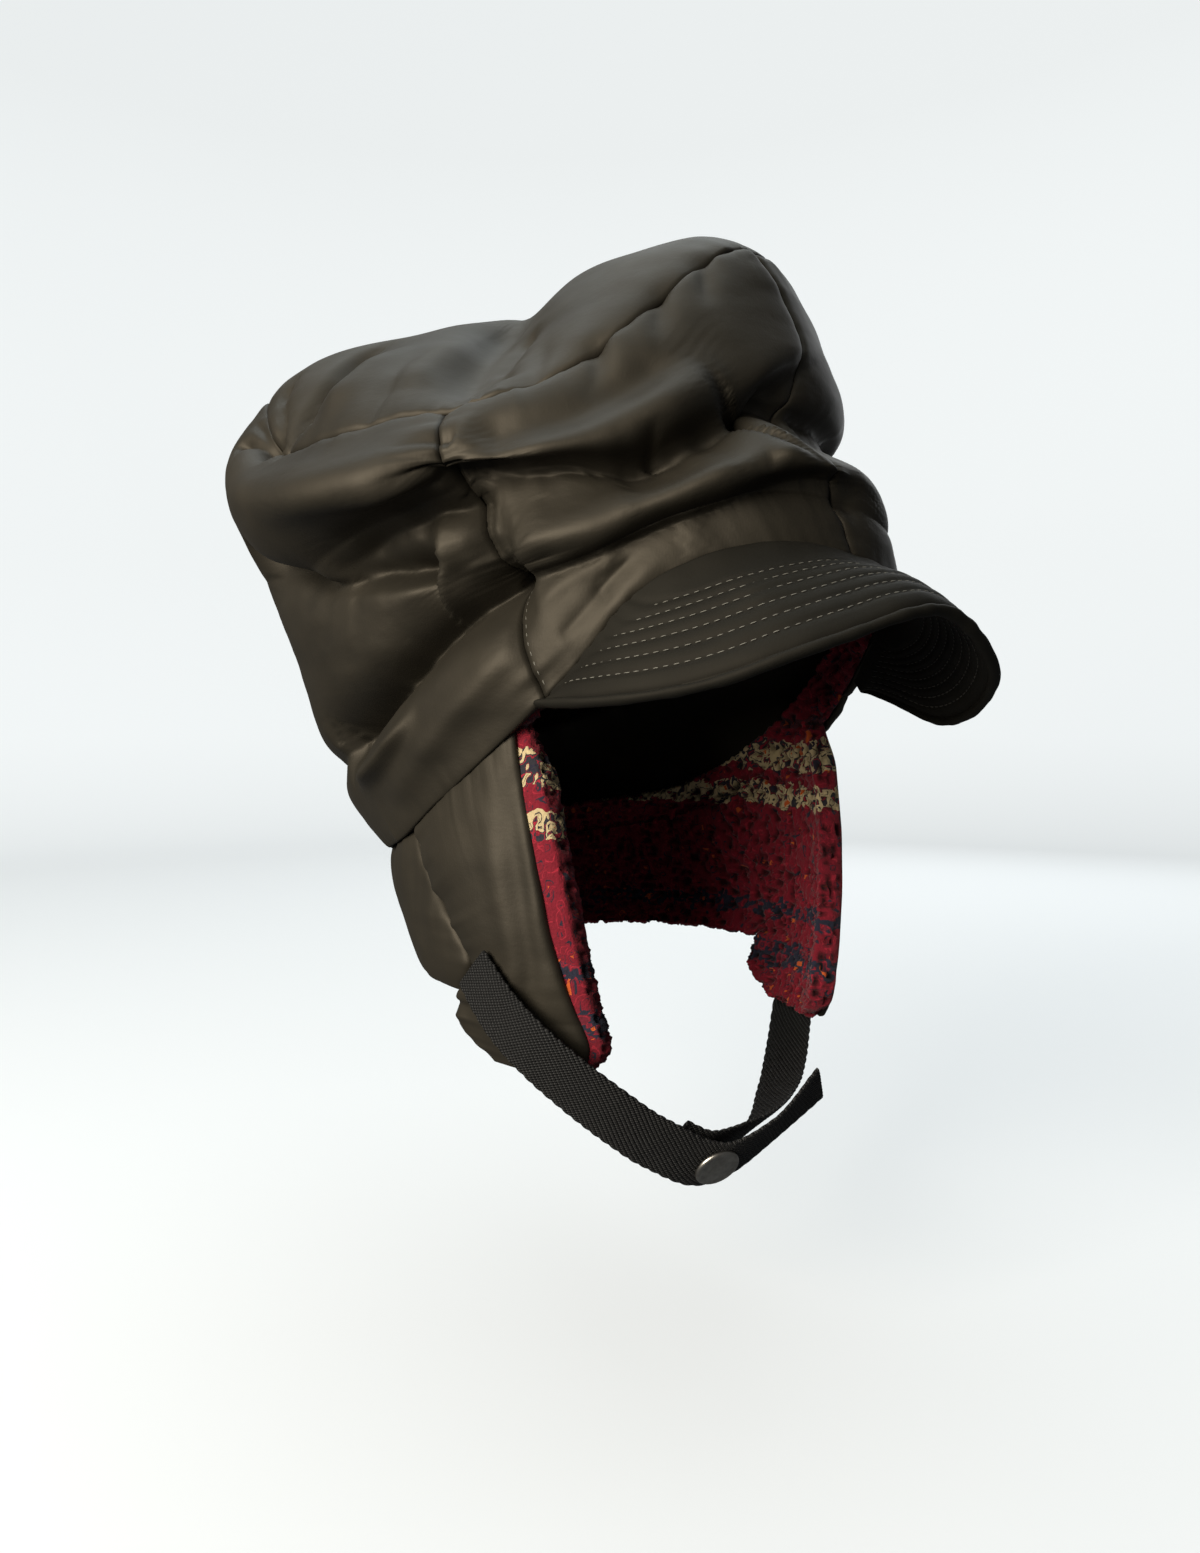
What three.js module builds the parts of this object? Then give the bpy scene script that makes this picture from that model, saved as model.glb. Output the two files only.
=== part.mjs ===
// A padded nylon crusher cap: a flopped crown of four side panels and a tip, a stitched visor with a
// rolled edge, a skirt of two ear flaps and a nape flap, a thick wool lining, and a webbing chin strap
// in two halves that a snap joins.
//
// Millimetres. The front is -Y, the wearer's left is +X, and +Z is up. The origin is the middle of the
// head opening, level with the visor's corners.
//
// A turn is an angle round the head, in degrees: 0 at the front, 90 at the wearer's right (-X), 180 at
// the back and 270 at the wearer's left.

import * as THREE from "three";

// Walls and gaps
const WALL = 3; // padded nylon of the crown and the skirt
const GAP = 0.35; // left between neighbouring pieces
const BAND_LINING = 4.5; // wool lining round the head
const FLAP_LINING = 6.5; // wool lining of the flaps
const VISOR_THICK = 3.4;
const EDGE_RADIUS = 1.6; // rolled edge of the visor
const WEBBING_WIDTH = 20;
const WEBBING_THICK = 1.6;

// Snap fastener
const SNAP_RADIUS = 8;
const SNAP_HEIGHT = 2;
const STUD_RADIUS = 5.5;
const STUD_HEIGHT = 1.5;

// Mesh fineness
const TURN_STEP = 8; // degrees between the crown's columns
const ROWS_PER_LEVEL = 4;

// Seams between the crown's side panels
const FRONT_SEAM = 0;
const RIGHT_SEAM = 64;
const BACK_SEAM = 180;
const LEFT_SEAM = 296;
const FULL_TURN = 360;

// The crown is an oval at each level, and the ovals lean back and to the wearer's right as they rise.
// twist turns a level's columns against those of the hem.
const LEVELS = [
  { name: "hem", x: 0, y: 0, halfWidth: 85, halfDepth: 107, twist: 0 },
  { name: "lowCrease", x: -4, y: 16, halfWidth: 93, halfDepth: 123, twist: 0 },
  { name: "roll", x: -9, y: 26, halfWidth: 93, halfDepth: 132, twist: -1 },
  { name: "highCrease", x: -9, y: 40, halfWidth: 103, halfDepth: 133, twist: -5 },
  { name: "bulge", x: -12.5, y: 43, halfWidth: 117.5, halfDepth: 121, twist: -12 },
  { name: "tipSeam", x: -14, y: 44, halfWidth: 101, halfDepth: 104, twist: -11 },
];
const TOP_LEVEL = LEVELS.length - 1;
const LOW_CREASE = 1;
const HIGH_CREASE = 3;
const CREASE_WIDTH = 0.22; // share of the way to the next level over which a crease closes
const SEAM_REACH = 0.5; // levels below the tip's seam over which the wall turns to its mitre
const HEM_REACH = 0.5; // levels above the hem over which the wall's edge turns level
const TOP_SEAM_REACH = 0.15; // the same on the tip, as a share of its size
const LEVEL_MARGIN = 0.1; // levels kept from an end of the side where its slope is taken
const RING_MARGIN = 0.05; // the same on the tip, as a share of its size

// Rows of numbers turned into rows with a name for each column.
function namedRows(names, rows) {
  return rows.map((row) => Object.fromEntries(names.map((name, i) => [name, row[i]])));
}

// Heights of the levels round the crown, and how deep its two creases are pulled in. tipOuter and
// tipInner are heights of the top on two rings inside the tip's seam.
const CROWN_SECTIONS = namedRows(
  ["turn", "hem", "lowCrease", "roll", "highCrease", "bulge",
   "tipSeam", "tipOuter", "tipInner", "lowDepth", "highDepth"],
  [
    [0, 43, 60, 73, 88, 120, 153, 162, 160, 4, 9],
    [12, 45, 60, 75, 95, 115, 147, 156, 158, 5, 9],
    [24, 44, 57, 69, 80, 103, 130, 146, 154, 5, 9],
    [36, 39, 51, 60, 69, 86, 112, 130, 145, 5, 9],
    [48, 28, 41, 52, 68, 77, 100, 114, 135, 4, 7],
    [61, 5, 33, 44, 62, 74, 94, 110, 131, 4, 5],
    [75, -15, 21, 35, 56, 69, 91, 112, 134, 5, 6],
    [90, -33, 2, 24, 50, 66, 88, 114, 137, 6, 6],
    [110, -51, -15, 14, 43, 70, 89, 118, 139, 6, 5],
    [135, -59, -33, 10, 49, 86, 116, 133, 142, 3, 3],
    [160, -62, -37, 4, 49, 89, 123, 136, 143, 3, 4],
    [180, -63, -36, 4, 52, 92, 125, 138, 144, 2, 4],
    [215, -61, -25, 14, 58, 97, 130, 143, 147, 2, 4],
    [250, -49, -4, 28, 66, 102, 136, 149, 152, 3, 5],
    [285, -14, 20, 43, 72, 105, 143, 156, 156, 4, 6],
    [312, 24, 43, 60, 83, 108, 148, 161, 159, 4, 9],
    [340, 39, 56, 71, 86, 113, 152, 163, 161, 4, 10],
  ],
);
const TIP_CENTRE_HEIGHT = 149;
const TIP_RINGS = [1, 0.92, 0.78, 0.6, 0.42, 0.2]; // share of the tip seam's size
const OUTER_RING = 0.78;
const INNER_RING = 0.42;

// The visor from its right corner to its left one: where each rib leaves the hem, and its rim.
const VISOR_RIBS = [
  { turn: 62.5, rimX: -80.5, rimY: -46, rimZ: -0.5, arch: 0 },
  { turn: 54, rimX: -79, rimY: -69, rimZ: -1, arch: 1 },
  { turn: 47, rimX: -73, rimY: -93, rimZ: 1, arch: 2.5 },
  { turn: 39, rimX: -64, rimY: -111, rimZ: 5, arch: 3.5 },
  { turn: 30, rimX: -52, rimY: -126, rimZ: 12, arch: 4 },
  { turn: 20, rimX: -37, rimY: -135, rimZ: 18, arch: 4 },
  { turn: 9, rimX: -17, rimY: -142, rimZ: 25, arch: 4 },
  { turn: 0, rimX: 1, rimY: -143, rimZ: 26, arch: 4 },
  { turn: -9, rimX: 19, rimY: -141.5, rimZ: 19, arch: 4 },
  { turn: -20, rimX: 40, rimY: -134, rimZ: 9, arch: 4 },
  { turn: -30, rimX: 56, rimY: -121, rimZ: 0.5, arch: 3.5 },
  { turn: -39, rimX: 67, rimY: -106, rimZ: -6, arch: 3 },
  { turn: -47, rimX: 74, rimY: -90, rimZ: -8, arch: 2.5 },
  { turn: -54, rimX: 78.5, rimY: -72, rimZ: -2, arch: 1 },
  { turn: -61, rimX: 80.5, rimY: -52, rimZ: 6, arch: 0 },
];
const VISOR_DROP = 0.9; // the visor's root lies this far under the hem
const VISOR_COLUMNS = 36;
const VISOR_ROWS = 6;
const EDGE_HEIGHT = 1.25; // height of the rolled edge for its width
const NEAR_RIM = 0.9;

// The skirt's oval by height. It closes in on the nape below the back of the head.
const SKIRT_OVALS = [
  { z: 20, halfWidth: 84, frontDepth: 95, backDepth: 106 },
  { z: -50, halfWidth: 85.5, frontDepth: 93, backDepth: 107 },
  { z: -62, halfWidth: 85, frontDepth: 92, backDepth: 105 },
  { z: -74, halfWidth: 84.5, frontDepth: 91, backDepth: 98 },
  { z: -86, halfWidth: 83, frontDepth: 90, backDepth: 86 },
  { z: -95, halfWidth: 82, frontDepth: 89, backDepth: 74 },
  { z: -104, halfWidth: 80, frontDepth: 88, backDepth: 66 },
  { z: -126, halfWidth: 76, frontDepth: 86, backDepth: 58 },
];

// Edges of the right ear flap from the hem down. The left flap mirrors it.
const EAR_ROWS = [
  { frontTurn: 68, frontZ: -8, backTurn: 104, backZ: -47.5 },
  { frontTurn: 65, frontZ: -30, backTurn: 96, backZ: -63 },
  { frontTurn: 61, frontZ: -56, backTurn: 88.5, backZ: -76 },
  { frontTurn: 57.5, frontZ: -82, backTurn: 83.5, backZ: -89 },
  { frontTurn: 55, frontZ: -100, backTurn: 90, backZ: -101.5 },
  { frontTurn: 53.5, frontZ: -113, backTurn: 91, backZ: -112 },
  { frontTurn: 57, frontZ: -123.5, backTurn: 80, backZ: -122.5 },
];

// Rows of the nape flap between the two ear flaps: its ends, and its height at the middle of the back.
const NAPE_ROWS = [
  { endTurn: 104, endZ: -47.5, backZ: -63 },
  { endTurn: 96, endZ: -63, backZ: -71 },
  { endTurn: 88.5, endZ: -76, backZ: -80 },
  { endTurn: 83.5, endZ: -89, backZ: -88 },
  { endTurn: 90, endZ: -100, backZ: -97 },
];
const FLAP_COLUMNS = 8;
const NAPE_COLUMNS = 20;
const ROWS_PER_FLAP_ROW = 2;
const SKIRT_TUCK = 1.2; // the skirt's top lies this far inside the crown's hem
const SKIRT_DROP = 0.9; // and at least this far under it
const FLAP_PUFF = 2.5;
const PUFF_SHAPE = 0.6; // under 1, so that a flap stays full close to its edges
const LINING_TRIM = 1; // the lining's edges lie this far inside the flap's
const FRONT_REACH = 2; // degrees that the ear lining's front edge shows past its flap

// The right half of the chin strap, from the end sewn on the ear flap to its free end past the snap.
// face is the direction that the webbing's outer side faces.
const RIGHT_STRAP = [
  { x: -84, y: -17, z: -88, faceX: -0.99, faceY: -0.14, faceZ: -0.1 },
  { x: -82, y: -30, z: -101, faceX: -0.96, faceY: -0.25, faceZ: -0.1 },
  { x: -76.5, y: -43.5, z: -113, faceX: -0.92, faceY: -0.38, faceZ: -0.12 },
  { x: -62, y: -56, z: -129, faceX: -0.78, faceY: -0.58, faceZ: -0.22 },
  { x: -42, y: -63, z: -145, faceX: -0.45, faceY: -0.78, faceZ: -0.4 },
  { x: -21, y: -68, z: -155, faceX: 0, faceY: -0.85, faceZ: -0.53 },
  { x: 1, y: -73, z: -148, faceX: 0.12, faceY: -0.84, faceZ: -0.55 },
  { x: 22, y: -77, z: -134, faceX: 0.3, faceY: -0.7, faceZ: -0.65 },
];

// The left half runs inside the right one at the snap and ends just past it.
const LEFT_STRAP = [
  { x: 84.6, y: -13, z: -88, faceX: 1, faceY: -0.1, faceZ: -0.1 },
  { x: 82.6, y: -17, z: -106, faceX: 1, faceY: -0.06, faceZ: -0.12 },
  { x: 74, y: -19, z: -128, faceX: 0.93, faceY: 0.1, faceZ: -0.35 },
  { x: 47, y: -37, z: -147, faceX: 0.55, faceY: -0.15, faceZ: -0.8 },
  { x: 17, y: -54, z: -152, faceX: 0.22, faceY: -0.6, faceZ: -0.76 },
  { x: -21, y: -64.1, z: -152.1, faceX: 0, faceY: -0.85, faceZ: -0.53 },
  { x: -35, y: -61.5, z: -146, faceX: -0.25, faceY: -0.83, faceZ: -0.48 },
];
const STRAP_STEPS = 30;
const SNAP_POINT = 5; // row of each strap table where the snap goes through

const radians = (degrees) => (degrees * Math.PI) / 180;
const mix = (a, b, share) => a + (b - a) * share;
const clamp = (value, low, high) => Math.min(Math.max(value, low), high);

const smooth = (share) => {
  const s = clamp(share, 0, 1);
  return s * s * (3 - 2 * s);
};

// A cubic through a and b, with the slopes that their neighbours give it.
function cubic(before, a, b, after, share) {
  const slopeA = (b - before) / 2;
  const slopeB = (after - a) / 2;
  const s2 = share * share;
  const s3 = s2 * share;
  const weightB = 3 * s2 - 2 * s3;
  return mix(a, b, weightB) + (s3 - 2 * s2 + share) * slopeA + (s3 - s2) * slopeB;
}

// One column of a table at a fractional row.
function alongRows(rows, column, at) {
  const last = rows.length - 1;
  const index = clamp(Math.floor(at), 0, last - 1);
  const value = (i) => rows[clamp(i, 0, last)][column];
  return cubic(value(index - 1), value(index), value(index + 1), value(index + 2), at - index);
}

// One column of the crown's sections at any turn, round and round.
function crownSection(column, turn) {
  const count = CROWN_SECTIONS.length;
  const wrapped = ((turn % FULL_TURN) + FULL_TURN) % FULL_TURN;
  const found = CROWN_SECTIONS.findIndex((row) => row.turn > wrapped);
  const index = (found === -1 ? count : found) - 1;
  const row = (i) => CROWN_SECTIONS[(i + count) % count];
  const turnOf = (i) => row(i).turn + FULL_TURN * Math.floor(i / count);
  const width = turnOf(index + 1) - turnOf(index);
  const slope = (i) => (row(i + 1)[column] - row(i - 1)[column]) / (turnOf(i + 1) - turnOf(i - 1));
  const a = row(index)[column];
  const b = row(index + 1)[column];
  const before = b - 2 * slope(index) * width;
  const after = a + 2 * slope(index + 1) * width;
  return cubic(before, a, b, after, (wrapped - turnOf(index)) / width);
}

// A point of an oval level of the crown.
function levelPoint(level, turn) {
  const angle = radians(turn + level.twist);
  const x = level.x - level.halfWidth * Math.sin(angle);
  const y = level.y - level.halfDepth * Math.cos(angle);
  return new THREE.Vector3(x, y, crownSection(level.name, turn));
}

// A point of the top, on a ring that is this share of the tip seam's size.
function tipPoint(turn, ring) {
  const seam = levelPoint(LEVELS[TOP_LEVEL], turn);
  const outer = crownSection("tipOuter", turn);
  const inner = crownSection("tipInner", turn);
  const x = mix(LEVELS[TOP_LEVEL].x, seam.x, ring);
  const y = mix(LEVELS[TOP_LEVEL].y, seam.y, ring);
  let z;
  if (ring > OUTER_RING) {
    const share = (1 - ring) / (1 - OUTER_RING);
    z = mix(seam.z, outer, Math.sin((share * Math.PI) / 2));
  } else if (ring > INNER_RING) {
    z = mix(outer, inner, (OUTER_RING - ring) / (OUTER_RING - INNER_RING));
  } else {
    const share = ring / INNER_RING;
    z = mix(TIP_CENTRE_HEIGHT, inner, share * share);
  }
  return new THREE.Vector3(x, y, z);
}

// The crown's side before its creases are pulled in. height runs from 0 at the hem by one a level.
function sidePoint(turn, height) {
  const index = clamp(Math.floor(height), 0, TOP_LEVEL - 1);
  const share = height - index;
  const knot = (i) => {
    if (i > TOP_LEVEL) return tipPoint(turn, OUTER_RING);
    return levelPoint(LEVELS[Math.max(i, 0)], turn);
  };
  const points = [knot(index - 1), knot(index), knot(index + 1), knot(index + 2)];
  const axis = (name) => cubic(...points.map((point) => point[name]), share);
  return new THREE.Vector3(axis("x"), axis("y"), axis("z"));
}

function normalOf(surface, a, b, stepA, stepB) {
  const alongA = surface(a + stepA, b).sub(surface(a - stepA, b));
  const alongB = surface(a, b + stepB).sub(surface(a, b - stepB));
  return alongA.cross(alongB).normalize();
}

// How far the creases are pulled in at a place on the crown's side.
function creasePull(turn, height) {
  const closeness = (level) => Math.exp(-Math.abs(height - level) / CREASE_WIDTH);
  const low = crownSection("lowDepth", turn) * closeness(LOW_CREASE);
  const high = crownSection("highDepth", turn) * closeness(HIGH_CREASE);
  return low + high;
}

// Ways into the wall: square to the crown's side, square to its top, and halfway at the tip's seam.
const sideInward = (turn, height) =>
  normalOf(sidePoint, turn, clamp(height, LEVEL_MARGIN, TOP_LEVEL - LEVEL_MARGIN), 1, LEVEL_MARGIN / 2);
const topInward = (turn, ring) =>
  normalOf(tipPoint, turn, clamp(ring, RING_MARGIN, 1 - RING_MARGIN), 1, RING_MARGIN / 2).negate();
const seamInward = (turn) => sideInward(turn, TOP_LEVEL).add(topInward(turn, 1)).normalize();

// The crown's side, at a depth inside its outer face.
function crownSide(turn, height, depth) {
  const angle = radians(turn);
  const pull = creasePull(turn, height);
  const towardsAxis = new THREE.Vector3(Math.sin(angle), Math.cos(angle), 0);
  const nearSeam = smooth(1 - (TOP_LEVEL - height) / SEAM_REACH);
  const nearHem = smooth(1 - height / HEM_REACH);
  const inward = sideInward(turn, height).lerp(seamInward(turn), nearSeam).lerp(towardsAxis, nearHem);
  inward.normalize();
  return sidePoint(turn, height).addScaledVector(towardsAxis, pull).addScaledVector(inward, depth);
}

// The crown's top, at a depth inside its outer face.
function crownTop(turn, ring, depth) {
  const nearSeam = smooth(1 - (1 - ring) / TOP_SEAM_REACH);
  const inward = topInward(turn, ring).lerp(seamInward(turn), nearSeam).normalize();
  return tipPoint(turn, ring).addScaledVector(inward, depth);
}

// A closed solid from two grids of points, an outer and an inner face of one sheet. Their columns
// run anticlockwise round the head seen from above, and their rows upwards, to face outwards.
function sheetGeometry(outer, inner, closedRound) {
  const columns = outer.length;
  const rows = outer[0].length;
  const positions = [...outer.flat(), ...inner.flat()].flatMap((point) => point.toArray());
  const indices = [];
  const outerIndex = (column, row) => (column % columns) * rows + row;
  const innerIndex = (column, row) => columns * rows + outerIndex(column, row);
  const quad = (a, b, c, d) => indices.push(a, b, c, a, c, d);
  const spans = closedRound ? columns : columns - 1;
  for (let i = 0; i < spans; i++) {
    for (let j = 0; j < rows - 1; j++) {
      quad(outerIndex(i, j), outerIndex(i + 1, j), outerIndex(i + 1, j + 1), outerIndex(i, j + 1));
      quad(innerIndex(i, j), innerIndex(i, j + 1), innerIndex(i + 1, j + 1), innerIndex(i + 1, j));
    }
    quad(innerIndex(i, 0), innerIndex(i + 1, 0), outerIndex(i + 1, 0), outerIndex(i, 0));
    const top = rows - 1;
    quad(outerIndex(i, top), outerIndex(i + 1, top), innerIndex(i + 1, top), innerIndex(i, top));
  }
  if (!closedRound) {
    const end = columns - 1;
    for (let j = 0; j < rows - 1; j++) {
      quad(innerIndex(0, j), outerIndex(0, j), outerIndex(0, j + 1), innerIndex(0, j + 1));
      quad(innerIndex(end, j), innerIndex(end, j + 1), outerIndex(end, j + 1), outerIndex(end, j));
    }
  }
  return geometryFrom(positions, indices);
}

function geometryFrom(positions, indices) {
  const geometry = new THREE.BufferGeometry();
  geometry.setAttribute("position", new THREE.Float32BufferAttribute(positions, 3));
  geometry.setIndex(indices);
  geometry.computeVertexNormals();
  return geometry;
}

// Columns of points: one column for each of the steps, made by columnAt(share).
function gridOf(steps, columnAt) {
  return Array.from({ length: steps + 1 }, (_, i) => columnAt(i / steps));
}

function addMesh(group, name, geometry, color, roughness, metalness = 0) {
  const material = new THREE.MeshStandardMaterial({ color, roughness, metalness });
  const mesh = new THREE.Mesh(geometry, material);
  mesh.name = name;
  group.add(mesh);
}

// A side panel of the crown between two seams. Its columns go from the higher turn to the lower.
function crownPanel(fromTurn, toTurn) {
  const seamGap = 0.12; // degrees from the seam to the panel's edge, half the gap
  const levelGap = 0.012; // levels from the tip's seam
  const first = Math.ceil(toTurn / TURN_STEP);
  const steps = first - Math.floor(fromTurn / TURN_STEP);
  const rows = TOP_LEVEL * ROWS_PER_LEVEL;
  const face = (depth) =>
    Array.from({ length: steps + 1 }, (_, i) => {
      const turn = clamp((first - i) * TURN_STEP, fromTurn + seamGap, toTurn - seamGap);
      return gridOf(rows, (up) => crownSide(turn, Math.min(up * TOP_LEVEL, TOP_LEVEL - levelGap), depth));
    });
  return sheetGeometry(face(0), face(WALL), false);
}

// The top of the crown: rings of points that close on a centre point.
function tipGeometry() {
  const columns = FULL_TURN / TURN_STEP;
  const rimRing = 0.997; // leaves the gap to the side panels
  const rings = [rimRing, ...TIP_RINGS.slice(1)];
  const positions = [];
  const indices = [];
  for (const depth of [0, WALL]) {
    for (const ring of rings) {
      for (let i = 0; i < columns; i++) {
        positions.push(...crownTop(-i * TURN_STEP, ring, depth).toArray());
      }
    }
    positions.push(LEVELS[TOP_LEVEL].x, LEVELS[TOP_LEVEL].y, TIP_CENTRE_HEIGHT - depth);
  }
  const faceSize = columns * rings.length + 1;
  const at = (face, ring, column) => face * faceSize + ring * columns + (column % columns);
  const centre = (face) => face * faceSize + faceSize - 1;
  for (let i = 0; i < columns; i++) {
    for (let ring = 0; ring < rings.length - 1; ring++) {
      const outer = [at(0, ring, i), at(0, ring, i + 1), at(0, ring + 1, i + 1), at(0, ring + 1, i)];
      const inner = [at(1, ring, i), at(1, ring + 1, i), at(1, ring + 1, i + 1), at(1, ring, i + 1)];
      indices.push(outer[0], outer[1], outer[2], outer[0], outer[2], outer[3]);
      indices.push(inner[0], inner[1], inner[2], inner[0], inner[2], inner[3]);
    }
    const last = rings.length - 1;
    indices.push(at(0, last, i), at(0, last, i + 1), centre(0));
    indices.push(at(1, last, i + 1), at(1, last, i), centre(1));
    indices.push(at(0, 0, i + 1), at(0, 0, i), at(1, 0, i), at(0, 0, i + 1), at(1, 0, i), at(1, 0, i + 1));
  }
  return geometryFrom(positions, indices);
}

// The visor's top face. across runs over the ribs, and out goes from the root to the rim.
function visorPoint(across, out) {
  const rib = across * (VISOR_RIBS.length - 1);
  const turn = alongRows(VISOR_RIBS, "turn", rib);
  const root = levelPoint(LEVELS[0], turn);
  root.z -= VISOR_DROP;
  const rim = new THREE.Vector3(...["rimX", "rimY", "rimZ"].map((name) => alongRows(VISOR_RIBS, name, rib)));
  const point = root.lerp(rim, out);
  point.z += alongRows(VISOR_RIBS, "arch", rib) * Math.sin(Math.PI * out);
  return point;
}

function visorNormal(across, out) {
  const step = 0.03; // of the visor's length and of its width
  const place = clamp(across, step, 1 - step);
  return normalOf(visorPoint, place, clamp(out, step, 1 - step), step / 3, step).negate();
}

// How far out something at this distance in from the visor's rim lies.
const shareFromRim = (across, distance) =>
  1 - distance / visorPoint(across, 0).distanceTo(visorPoint(across, 1));

function visorGeometry() {
  const face = (depth) =>
    gridOf(VISOR_COLUMNS, (across) =>
      gridOf(VISOR_ROWS, (share) => {
        const out = (1 - share) * shareFromRim(across, 2 * EDGE_RADIUS + GAP);
        return visorPoint(across, out).addScaledVector(visorNormal(across, out), -depth);
      }),
    );
  return sheetGeometry(face(0), face(VISOR_THICK), false);
}

// A closed tube through rings of points, with flat ends.
function tubeGeometry(rings) {
  const sides = rings[0].length;
  const positions = rings.flat().flatMap((point) => point.toArray());
  const indices = [];
  const at = (ring, side) => ring * sides + (side % sides);
  for (let i = 0; i < rings.length - 1; i++) {
    for (let j = 0; j < sides; j++) {
      indices.push(at(i, j), at(i, j + 1), at(i + 1, j + 1), at(i, j), at(i + 1, j + 1), at(i + 1, j));
    }
  }
  const last = rings.length - 1;
  for (let j = 1; j < sides - 1; j++) {
    indices.push(at(0, 0), at(0, j + 1), at(0, j));
    indices.push(at(last, 0), at(last, j), at(last, j + 1));
  }
  return geometryFrom(positions, indices);
}

// The rolled edge along the visor's rim.
function visorEdgeGeometry() {
  const sides = 8;
  const rings = gridOf(VISOR_COLUMNS, (across) => {
    const normal = visorNormal(across, 1);
    const rim = visorPoint(across, 1);
    const outward = rim.clone().sub(visorPoint(across, NEAR_RIM)).normalize();
    const middle = rim.addScaledVector(outward, -EDGE_RADIUS).addScaledVector(normal, -VISOR_THICK / 2);
    return Array.from({ length: sides }, (_, j) => {
      const angle = -(j / sides) * 2 * Math.PI;
      const point = middle.clone().addScaledVector(outward, EDGE_RADIUS * Math.cos(angle));
      return point.addScaledVector(normal, EDGE_HEIGHT * EDGE_RADIUS * Math.sin(angle));
    });
  });
  return tubeGeometry(rings);
}

// A column of the skirt's oval table at a height.
function skirtSize(column, z) {
  const last = SKIRT_OVALS.length - 1;
  const found = SKIRT_OVALS.findIndex((row) => row.z < z);
  const index = clamp((found === -1 ? last : found) - 1, 0, last - 1);
  const share = (SKIRT_OVALS[index].z - z) / (SKIRT_OVALS[index].z - SKIRT_OVALS[index + 1].z);
  return alongRows(SKIRT_OVALS, column, index + clamp(share, 0, 1));
}

// A point of the skirt, pushed out by puff and in by depth.
function skirtPoint(turn, z, puff, depth) {
  const angle = radians(turn);
  const depthColumn = Math.cos(angle) > 0 ? "frontDepth" : "backDepth";
  const offset = puff - depth - SKIRT_TUCK;
  const x = -(skirtSize("halfWidth", z) + offset) * Math.sin(angle);
  const y = -(skirtSize(depthColumn, z) + offset) * Math.cos(angle);
  return new THREE.Vector3(x, y, z);
}

// Lowers a point of the skirt where it would meet the crown's hem.
function underHem(point) {
  const hem = LEVELS[0];
  const turn = THREE.MathUtils.radToDeg(Math.atan2(-point.x / hem.halfWidth, -point.y / hem.halfDepth));
  point.z = Math.min(point.z, crownSection("hem", turn) - SKIRT_DROP);
  return point;
}

const bulgeOf = (across, up) => (Math.sin(Math.PI * across) * Math.sin(Math.PI * up)) ** PUFF_SHAPE;

// A place on the right ear flap: across from the front edge, down from the hem. inset trims its edges.
function earPlace(across, down, inset) {
  const row = down * (EAR_ROWS.length - 1);
  const trim = THREE.MathUtils.radToDeg(inset / LEVELS[0].halfWidth);
  const front = alongRows(EAR_ROWS, "frontTurn", row) + trim;
  const back = alongRows(EAR_ROWS, "backTurn", row) - trim;
  const z = mix(alongRows(EAR_ROWS, "frontZ", row), alongRows(EAR_ROWS, "backZ", row), across);
  const lift = inset * (2 * down - 1);
  return { turn: mix(front, back, across), z: z + lift };
}

// A sheet of the right ear flap between two depths, with its edges trimmed by inset.
function earGeometry(outerDepth, innerDepth, inset, frontReach, mirrored) {
  const rows = (EAR_ROWS.length - 1) * ROWS_PER_FLAP_ROW;
  const side = mirrored ? -1 : 1;
  const face = (depth) =>
    gridOf(FLAP_COLUMNS, (share) => {
      const across = mirrored ? share : 1 - share;
      return gridOf(rows, (up) => {
        const place = earPlace(across, 1 - up, inset);
        const reach = frontReach * (1 - across) ** 3;
        const point = skirtPoint(place.turn - reach, place.z, FLAP_PUFF * bulgeOf(across, up), depth);
        point.x *= side;
        return underHem(point);
      });
    });
  return sheetGeometry(face(outerDepth), face(innerDepth), false);
}

// A sheet of the nape flap, from the right ear flap round the back to the left one.
function napeGeometry(outerDepth, innerDepth, inset) {
  const rows = (NAPE_ROWS.length - 1) * ROWS_PER_FLAP_ROW;
  const trim = THREE.MathUtils.radToDeg((GAP / 4 + inset) / LEVELS[0].halfWidth);
  const face = (depth) =>
    gridOf(NAPE_COLUMNS, (share) => {
      const fromLeft = 2 * share - 1; // -1 at the left end, 1 at the right one
      return gridOf(rows, (up) => {
        const row = (1 - up) * (NAPE_ROWS.length - 1);
        const edgeTurn = alongRows(NAPE_ROWS, "endTurn", row) + trim;
        const turn = 180 - fromLeft * (180 - edgeTurn);
        const toEnd = Math.abs(fromLeft);
        const level = mix(alongRows(NAPE_ROWS, "backZ", row), alongRows(NAPE_ROWS, "endZ", row), toEnd ** 2);
        const z = level - inset * (2 * up - 1);
        return underHem(skirtPoint(turn, z, FLAP_PUFF * bulgeOf(share, up), depth));
      });
    });
  return sheetGeometry(face(outerDepth), face(innerDepth), false);
}

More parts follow.
